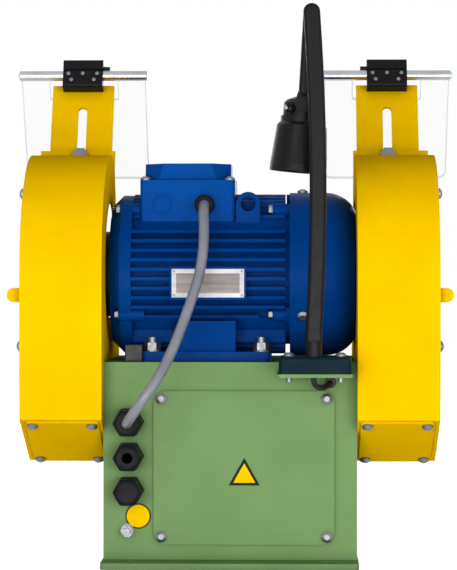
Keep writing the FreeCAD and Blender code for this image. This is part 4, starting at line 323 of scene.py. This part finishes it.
def metal(name, colour, roughness=0.3, stretch=PLAIN, grain=0.08):
    """Bare or plated metal with fine lines and brighter edges."""
    material, tree, shader = blank(name)
    base = linear(*colour)
    tone = mixed(tree, clouds(tree, scale=60.0, detail=3.0), scaled(base, 0.86), scaled(base, 1.06))
    bright = mixed(tree, edges(tree, radius=0.0005, most=0.6), tone, scaled(base, 1.3))
    tree.links.new(bright, shader.inputs["Base Color"])
    shader.inputs["Metallic"].default_value = 1.0
    lines = noise(tree, scale=300.0, stretch=stretch)
    roughened(tree, shader, lines, roughness - 0.08, roughness + 0.1)
    bumped(tree, shader, lines, strength=grain, distance=0.0002)
    return material


def abrasive():
    """Bonded grit: coarse speckle and a rough face."""
    material, tree, shader = blank("abrasive")
    base = linear(128, 124, 118)
    speckle = mixed(tree, clouds(tree, scale=900.0, detail=4.0), scaled(base, 0.55), scaled(base, 1.35))
    tree.links.new(speckle, shader.inputs["Base Color"])
    roughened(tree, shader, noise(tree, scale=300.0), 0.85, 1.0)
    bumped(tree, shader, noise(tree, scale=1100.0, detail=4.0), strength=0.6, distance=0.0006)
    return material


def clear_sheet():
    """Clear plastic sheet, a little milky along its cut edges."""
    material, tree, shader = blank("clear_sheet")
    tint = linear(196, 200, 201)
    haze = noise(tree, scale=30.0)
    tree.links.new(mixed(tree, haze, tint, scaled(tint, 0.96)), shader.inputs["Base Color"])
    roughened(tree, shader, haze, 0.03, 0.08)
    cover = tree.nodes.new("ShaderNodeMath")
    cover.operation = "ADD"
    tree.links.new(edges(tree, radius=0.0025, most=0.7), cover.inputs[0])
    cover.inputs[1].default_value = 0.03
    tree.links.new(cover.outputs["Value"], shader.inputs["Alpha"])
    bumped(tree, shader, noise(tree, scale=25.0), strength=0.02)
    return material


def bulb_glass():
    """Frosted white bulb."""
    material, tree, shader = blank("bulb_glass")
    base = linear(242, 240, 232)
    frost = mixed(tree, noise(tree, scale=60.0), scaled(base, 0.95), base)
    tree.links.new(frost, shader.inputs["Base Color"])
    roughened(tree, shader, noise(tree, scale=200.0), 0.2, 0.3)
    shader.inputs["Subsurface Weight"].default_value = 0.2
    bumped(tree, shader, noise(tree, scale=900.0), strength=0.05)
    return material


def slot_name(material):
    """The record's name of a material, without the number that a second one of that name gets."""
    return material.name.split(".")[0]


def make_finishes():
    """Every finish by its name, which is its slot's name for all but the nameplate's field."""
    made = (
        paint("green_paint", (119, 152, 98), wear=0.1, shine=0.0),
        # dark_green_paint is a shaded copy of green_paint for the base plate: its darkness is painted shade
        paint("dark_green_paint", (116, 147, 98), wear=0.1, shine=0.0),
        paint("yellow_paint", (251, 198, 0), roughness=0.36, shine=0.0),
        paint("blue_paint", (0, 60, 134), roughness=0.36, peel=0.3, wear=0.2, shine=0.02),
        paint("blue_box_paint", (0, 73, 155), roughness=0.36, peel=0.25, wear=0.2, shine=0.02),
        plastic("black_plastic", (14, 14, 17), shine=0.1),
        plastic("black_enamel", (16, 16, 19), roughness=0.38, shine=0.12),
        # The lamp base's dark teal is painted shade with a painted reflection of the blue motor, over dark
        # plastic
        plastic("lamp_base_plastic", (8, 31, 41), shine=0.05),
        metal("steel", (128, 130, 134), roughness=0.46),
        metal("bright_steel", (178, 179, 182), roughness=0.24, stretch=DRAWN, grain=0.01),
        metal("machined_steel", (178, 180, 182), roughness=0.3, stretch=TURNED),
        metal("lamination", (120, 122, 126), roughness=0.45, stretch=STACKED),
        metal("copper", (196, 112, 66), roughness=0.35, stretch=TURNED),
        abrasive(),
        clear_sheet(),
        metal("plate", (150, 149, 153), roughness=0.5, stretch=BRUSHED),
        metal("plate_field", (112, 106, 104), roughness=0.5, stretch=BRUSHED),
        plastic("lead_sheath", (124, 126, 138), roughness=0.34, shine=0.5),
        plastic("black_sheath", (30, 30, 32), roughness=0.5),
        plastic("red_plastic", (190, 22, 20), roughness=0.35),
        plastic("green_plastic", (20, 120, 48), roughness=0.35),
        bulb_glass(),
        plastic("fan_plastic", (46, 46, 50)),
    )
    return {slot_name(material): material for material in made}


def dress(finishes):
    """Gives every CAD node the finish of its slot."""
    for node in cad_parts.values():
        for slot in node.material_slots:
            slot.material = finishes[slot_name(slot.material)]


# Shapes, each as points and faces

def circle(centre, radius, across, up, sides=DISC_SIDES):
    """Points round a circle in the plane of two unit directions."""
    turns = [2 * math.pi * side / sides for side in range(sides)]
    return [centre + across * (radius * math.cos(turn)) + up * (radius * math.sin(turn)) for turn in turns]


def extruded(outline, direction):
    """A flat outline pushed along a direction."""
    count = len(outline)
    points = list(outline) + [point + direction for point in outline]
    faces = [tuple(range(count))[::-1], tuple(range(count, 2 * count))]
    for first in range(count):
        second = (first + 1) % count
        faces.append((first, second, second + count, first + count))
    return points, faces


def ring(centre, outer, inner, across, up, direction):
    """A flat ring pushed along a direction."""
    rims = circle(centre, outer, across, up, RING_SIDES) + circle(centre, inner, across, up, RING_SIDES)
    points = rims + [point + direction for point in rims]
    top = len(rims)
    faces = []
    for first in range(RING_SIDES):
        second = (first + 1) % RING_SIDES
        inner_first = first + RING_SIDES
        inner_second = second + RING_SIDES
        faces.append((first, second, second + top, first + top))
        faces.append((inner_second, inner_first, inner_first + top, inner_second + top))
        faces.append((first + top, second + top, inner_second + top, inner_first + top))
        faces.append((second, first, inner_first, inner_second))
    return points, faces


def add_fitting(name, shape, material, body, edge=0.0):
    """Mesh piece that rides on a body, with bevelled edges where a width is given in millimetres."""
    points, faces = shape
    mesh = bpy.data.meshes.new(name)
    mesh.from_pydata([tuple(point) for point in points], [], faces)
    mesh.update()
    piece = bpy.data.objects.new(name, mesh)
    scene.collection.objects.link(piece)
    mesh.materials.append(material)
    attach(piece, body)
    if edge:
        bevel = piece.modifiers.new("bevel", "BEVEL")
        bevel.width = edge * MM
        bevel.segments = EDGE_STEPS
    return piece


# Leads

def make_lead(name, route, diameter, material):
    """Round lead on a smooth curve that the part's own control points steer."""
    curve = bpy.data.curves.new(name, "CURVE")
    curve.dimensions = "3D"
    curve.bevel_depth = diameter / 2
    curve.bevel_resolution = LEAD_ROUNDNESS
    curve.use_fill_caps = True
    spline = curve.splines.new("NURBS")
    spline.points.add(len(route) - 1)
    for control, point in zip(spline.points, route):
        control.co = (*metres(*point), 1.0)
    spline.order_u = LEAD_ORDER
    spline.use_endpoint_u = True
    spline.resolution_u = LEAD_STEPS
    curve.materials.append(material)
    piece = bpy.data.objects.new(name, curve)
    scene.collection.objects.link(piece)
    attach(piece, "base")
    return piece


def make_motor_lead(finishes):
    """Motor lead in place of the part's plain tube."""
    motor = make_lead("motor_lead_sheath", MOTOR_LEAD_ROUTE, MOTOR_LEAD_DIAMETER, finishes["lead_sheath"])
    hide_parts("motor_lead")


def make_lamp_lead(finishes):
    """Lamp lead in place of the part's plain tube, with the grommet where it enters the wall."""
    sheath = finishes["black_sheath"]
    lamp = make_lead("lamp_lead_sheath", LAMP_LEAD_ROUTE, LAMP_LEAD_DIAMETER, sheath)
    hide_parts("lamp_cable")
    wall = metres(*LAMP_LEAD_ROUTE[-1])
    wall.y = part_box("cabinet_shell")[0].y
    shape = extruded(circle(wall, GROMMET_RADIUS * MM, ACROSS, UP), OUT * (GROMMET_WALL * MM))
    grommet = add_fitting("lamp_lead_grommet", shape, sheath, "base", GROMMET_EDGE)


# Fittings on the hinge blocks

def on_block(side, across, height, out):
    """Point over the rear face of a hinge block, which leans with the mouth of its guard."""
    face = BLOCK_FACE - out
    y = height * math.sin(MOUTH_TILT) + face * math.cos(MOUTH_TILT)
    z = AXIS_Z + height * math.cos(MOUTH_TILT) - face * math.sin(MOUTH_TILT)
    return metres(side * WHEEL_CENTRE + across, y, z)


def make_block_screws(finishes):
    """Five screw heads on the rear face of each hinge block."""
    for side, hand in HANDS:
        for number, (across, height) in enumerate(BLOCK_SCREWS, start=1):
            centre = on_block(side, across, height, 0.0)
            out = on_block(side, across, height, BLOCK_SCREW_HEIGHT) - centre
            up = ACROSS.cross(out).normalized()
            shape = extruded(circle(centre, BLOCK_SCREW_RADIUS * MM, ACROSS, up, SCREW_SIDES), out)
            name = f"{hand}_block_screw_{number}"
            add_fitting(name, shape, finishes["steel"], hand + "_arm", BLOCK_SCREW_EDGE)


def make_clamp_screws(finishes):
    """Clamp screw that stands out of the inner side of each hinge block."""
    for side, hand in HANDS:
        start = on_block(side, -side * CLAMP_START, CLAMP_AT, -CLAMP_INSIDE)
        end = on_block(side, -side * CLAMP_END, CLAMP_AT, -CLAMP_INSIDE)
        shape = extruded(circle(start, CLAMP_RADIUS * MM, OUT * side, UP, SCREW_SIDES), end - start)
        name = hand + "_clamp_screw"
        add_fitting(name, shape, finishes["black_enamel"], hand + "_arm", CLAMP_EDGE)


# Fittings on the motor, the bed and the cabinet

def make_foot_block(finishes):
    """Dark block on the bed beside the motor's left foot."""
    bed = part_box("cabinet_shell")[1].z
    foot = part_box("foot_bolts")[0].x - FOOT_BLOCK_GAP * MM
    across = ACROSS * (FOOT_BLOCK_WIDTH * MM)
    inward = -OUT * (FOOT_BLOCK_DEPTH * MM)
    corner = Vector((foot - FOOT_BLOCK_WIDTH * MM, FOOT_BLOCK_REAR * MM, bed))
    outline = [corner, corner + across, corner + across + inward, corner + inward]
    shape = extruded(outline, UP * (FOOT_BLOCK_HEIGHT * MM))
    add_fitting("left_foot_block", shape, finishes["fan_plastic"], "base", FOOT_BLOCK_EDGE)


def plate_corners(inset):
    """Corners of a rectangle on the nameplate, moved in from the plate's edge: two low, two high."""
    low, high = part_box("nameplate")
    columns = (low.x + inset * MM, high.x - inset * MM)
    rows = (low.z + inset * MM, high.z - inset * MM)
    return [Vector((x, low.y, z)) for z in rows for x in columns]


def make_plate_field(finishes):
    """Darker bare field inside the nameplate's bright border."""
    low_left, low_right, high_left, high_right = plate_corners(PLATE_BORDER)
    outline = [low_left, low_right, high_right, high_left]
    shape = extruded(outline, OUT * (LABEL_THICKNESS * MM))
    add_fitting("nameplate_field", shape, finishes["plate_field"], "base")


def make_rivets(finishes):
    """Four rivets at the nameplate's corners."""
    for number, centre in enumerate(plate_corners(RIVET_INSET), start=1):
        outline = circle(centre, RIVET_RADIUS * MM, ACROSS, UP, RIVET_SIDES)
        shape = extruded(outline, OUT * (RIVET_HEIGHT * MM))
        add_fitting(f"plate_rivet_{number}", shape, finishes["steel"], "base", RIVET_EDGE)


def triangle(inset, y):
    """Corners of the panel's triangle, moved in from its border."""
    height = TRIANGLE_HIGH - TRIANGLE_LOW
    rise = height / 3
    share = 1 - inset / rise
    middle = TRIANGLE_LOW + rise
    corners = ((-TRIANGLE_WIDTH / 2, TRIANGLE_LOW), (TRIANGLE_WIDTH / 2, TRIANGLE_LOW), (0.0, TRIANGLE_HIGH))
    return [metres(TRIANGLE_X + x * share, y, middle + (z - middle) * share) for x, z in corners]


def add_sign(name, border, face, finishes):
    """Bare yellow sign that stands twice as thick as its dark border."""
    step = OUT * (LABEL_THICKNESS * MM)
    dark = finishes["black_plastic"]
    add_fitting(name + "_border", extruded(border, step), dark, "base")
    add_fitting(name, extruded(face, step * 2), finishes["yellow_paint"], "base")


def make_signs(finishes):
    """Bare triangle on the panel and bare disc on the wall."""
    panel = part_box("access_panel")[0].y / MM
    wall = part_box("cabinet_shell")[0].y / MM
    add_sign("panel_triangle", triangle(0.0, panel), triangle(TRIANGLE_BORDER, panel), finishes)
    centre = metres(DISC_X, wall, DISC_Z)
    border = circle(centre, DISC_RADIUS * MM, ACROSS, UP)
    face = circle(centre, (DISC_RADIUS - DISC_BORDER) * MM, ACROSS, UP)
    add_sign("wall_disc", border, face, finishes)


def make_knock_out(finishes):
    """Raised ring round the terminal box's spare cable entry."""
    centre = metres(KNOCK_OUT_X, 0.0, KNOCK_OUT_Z)
    centre.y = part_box("terminal_box")[0].y
    inner = KNOCK_OUT_RADIUS - KNOCK_OUT_WIDTH
    shape = ring(centre, KNOCK_OUT_RADIUS * MM, inner * MM, ACROSS, UP, OUT * (KNOCK_OUT_HEIGHT * MM))
    blue = finishes["blue_box_paint"]
    add_fitting("box_knock_out", shape, blue, "base", KNOCK_OUT_EDGE)


def make_shaft_seal_and_shade(finishes):
    """Seal round the shaft between the motor's left end and the left wheel, black to stand for the shade in
    that gap: partly a seal, partly painted shade.
    """
    centre = metres(0.0, 0.0, AXIS_Z)
    centre.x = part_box("drive_end_shield")[0].x
    shape = ring(centre, SEAL_RADIUS * MM, SEAL_BORE * MM, OUT, UP, ACROSS * (-SEAL_LENGTH * MM))
    # Its black finish is painted shade in the gap between the motor's end and the guard
    add_fitting("left_shaft_seal_and_shade", shape, finishes["black_sheath"], "base", SEAL_EDGE)


# Room

def background_rays(tree):
    """One for the rays that should see a white background: the camera's, mirrored and through glass."""
    path = tree.nodes.new("ShaderNodeLightPath")
    share = path.outputs["Is Camera Ray"]
    for ray in ("Is Glossy Ray", "Is Transmission Ray"):
        larger = tree.nodes.new("ShaderNodeMath")
        larger.operation = "MAXIMUM"
        tree.links.new(share, larger.inputs[0])
        tree.links.new(path.outputs[ray], larger.inputs[1])
        share = larger.outputs["Value"]
    return share


def make_floor():
    """Pale floor that reads near white where it is lit and keeps the object's shadow."""
    corners = [(-FLOOR_HALF, -FLOOR_HALF, 0.0), (FLOOR_HALF, -FLOOR_HALF, 0.0),
               (FLOOR_HALF, FLOOR_HALF, 0.0), (-FLOOR_HALF, FLOOR_HALF, 0.0)]
    mesh = bpy.data.meshes.new("floor")
    mesh.from_pydata(corners, [], [(0, 1, 2, 3)])
    floor = bpy.data.objects.new("floor", mesh)
    scene.collection.objects.link(floor)
    material, tree, shader = blank("floor")
    shader.inputs["Base Color"].default_value = FLOOR_COLOUR
    shader.inputs["Roughness"].default_value = FLOOR_ROUGHNESS
    shader.inputs["Specular IOR Level"].default_value = 0.0
    shader.inputs["Emission Color"].default_value = WHITE
    glow = spread(tree, background_rays(tree), low=0.0, high=FLOOR_GLOW, start=0.0, end=1.0)
    tree.links.new(glow, shader.inputs["Emission Strength"])
    mesh.materials.append(material)


def make_world():
    """White behind the object, soft even light around it."""
    world = bpy.data.worlds.new("studio")
    world.use_nodes = True
    scene.world = world
    tree = world.node_tree
    around = tree.nodes["Background"]
    around.inputs["Color"].default_value = WHITE
    strength = spread(tree, background_rays(tree), low=WORLD_LIGHT, high=1.0, start=0.0, end=1.0)
    tree.links.new(strength, around.inputs["Strength"])


def make_light(name, place, size, power):
    """Soft rectangular light that faces the middle of the object."""
    data = bpy.data.lights.new(name, "AREA")
    data.shape = "RECTANGLE"
    data.size, data.size_y = size
    data.energy = power
    light = bpy.data.objects.new(name, data)
    scene.collection.objects.link(light)
    light.location = place
    light.visible_camera = False
    light.rotation_euler = (LIGHT_AIM - Vector(place)).to_track_quat("-Z", "Y").to_euler()


def make_lights():
    """Frontal key and fill, a low strip, light off the floor in front, and two lights from behind."""
    for name, place, size, power in LIGHTS:
        make_light(name, place, size, power)


make_camera()
finishes = make_finishes()
dress(finishes)
make_motor_lead(finishes)
make_lamp_lead(finishes)
make_block_screws(finishes)
make_clamp_screws(finishes)
make_foot_block(finishes)
make_plate_field(finishes)
make_signs(finishes)
make_knock_out(finishes)
make_shaft_seal_and_shade(finishes)
make_rivets(finishes)
make_floor()
make_world()
make_lights()
scene.view_settings.view_transform = "Standard"
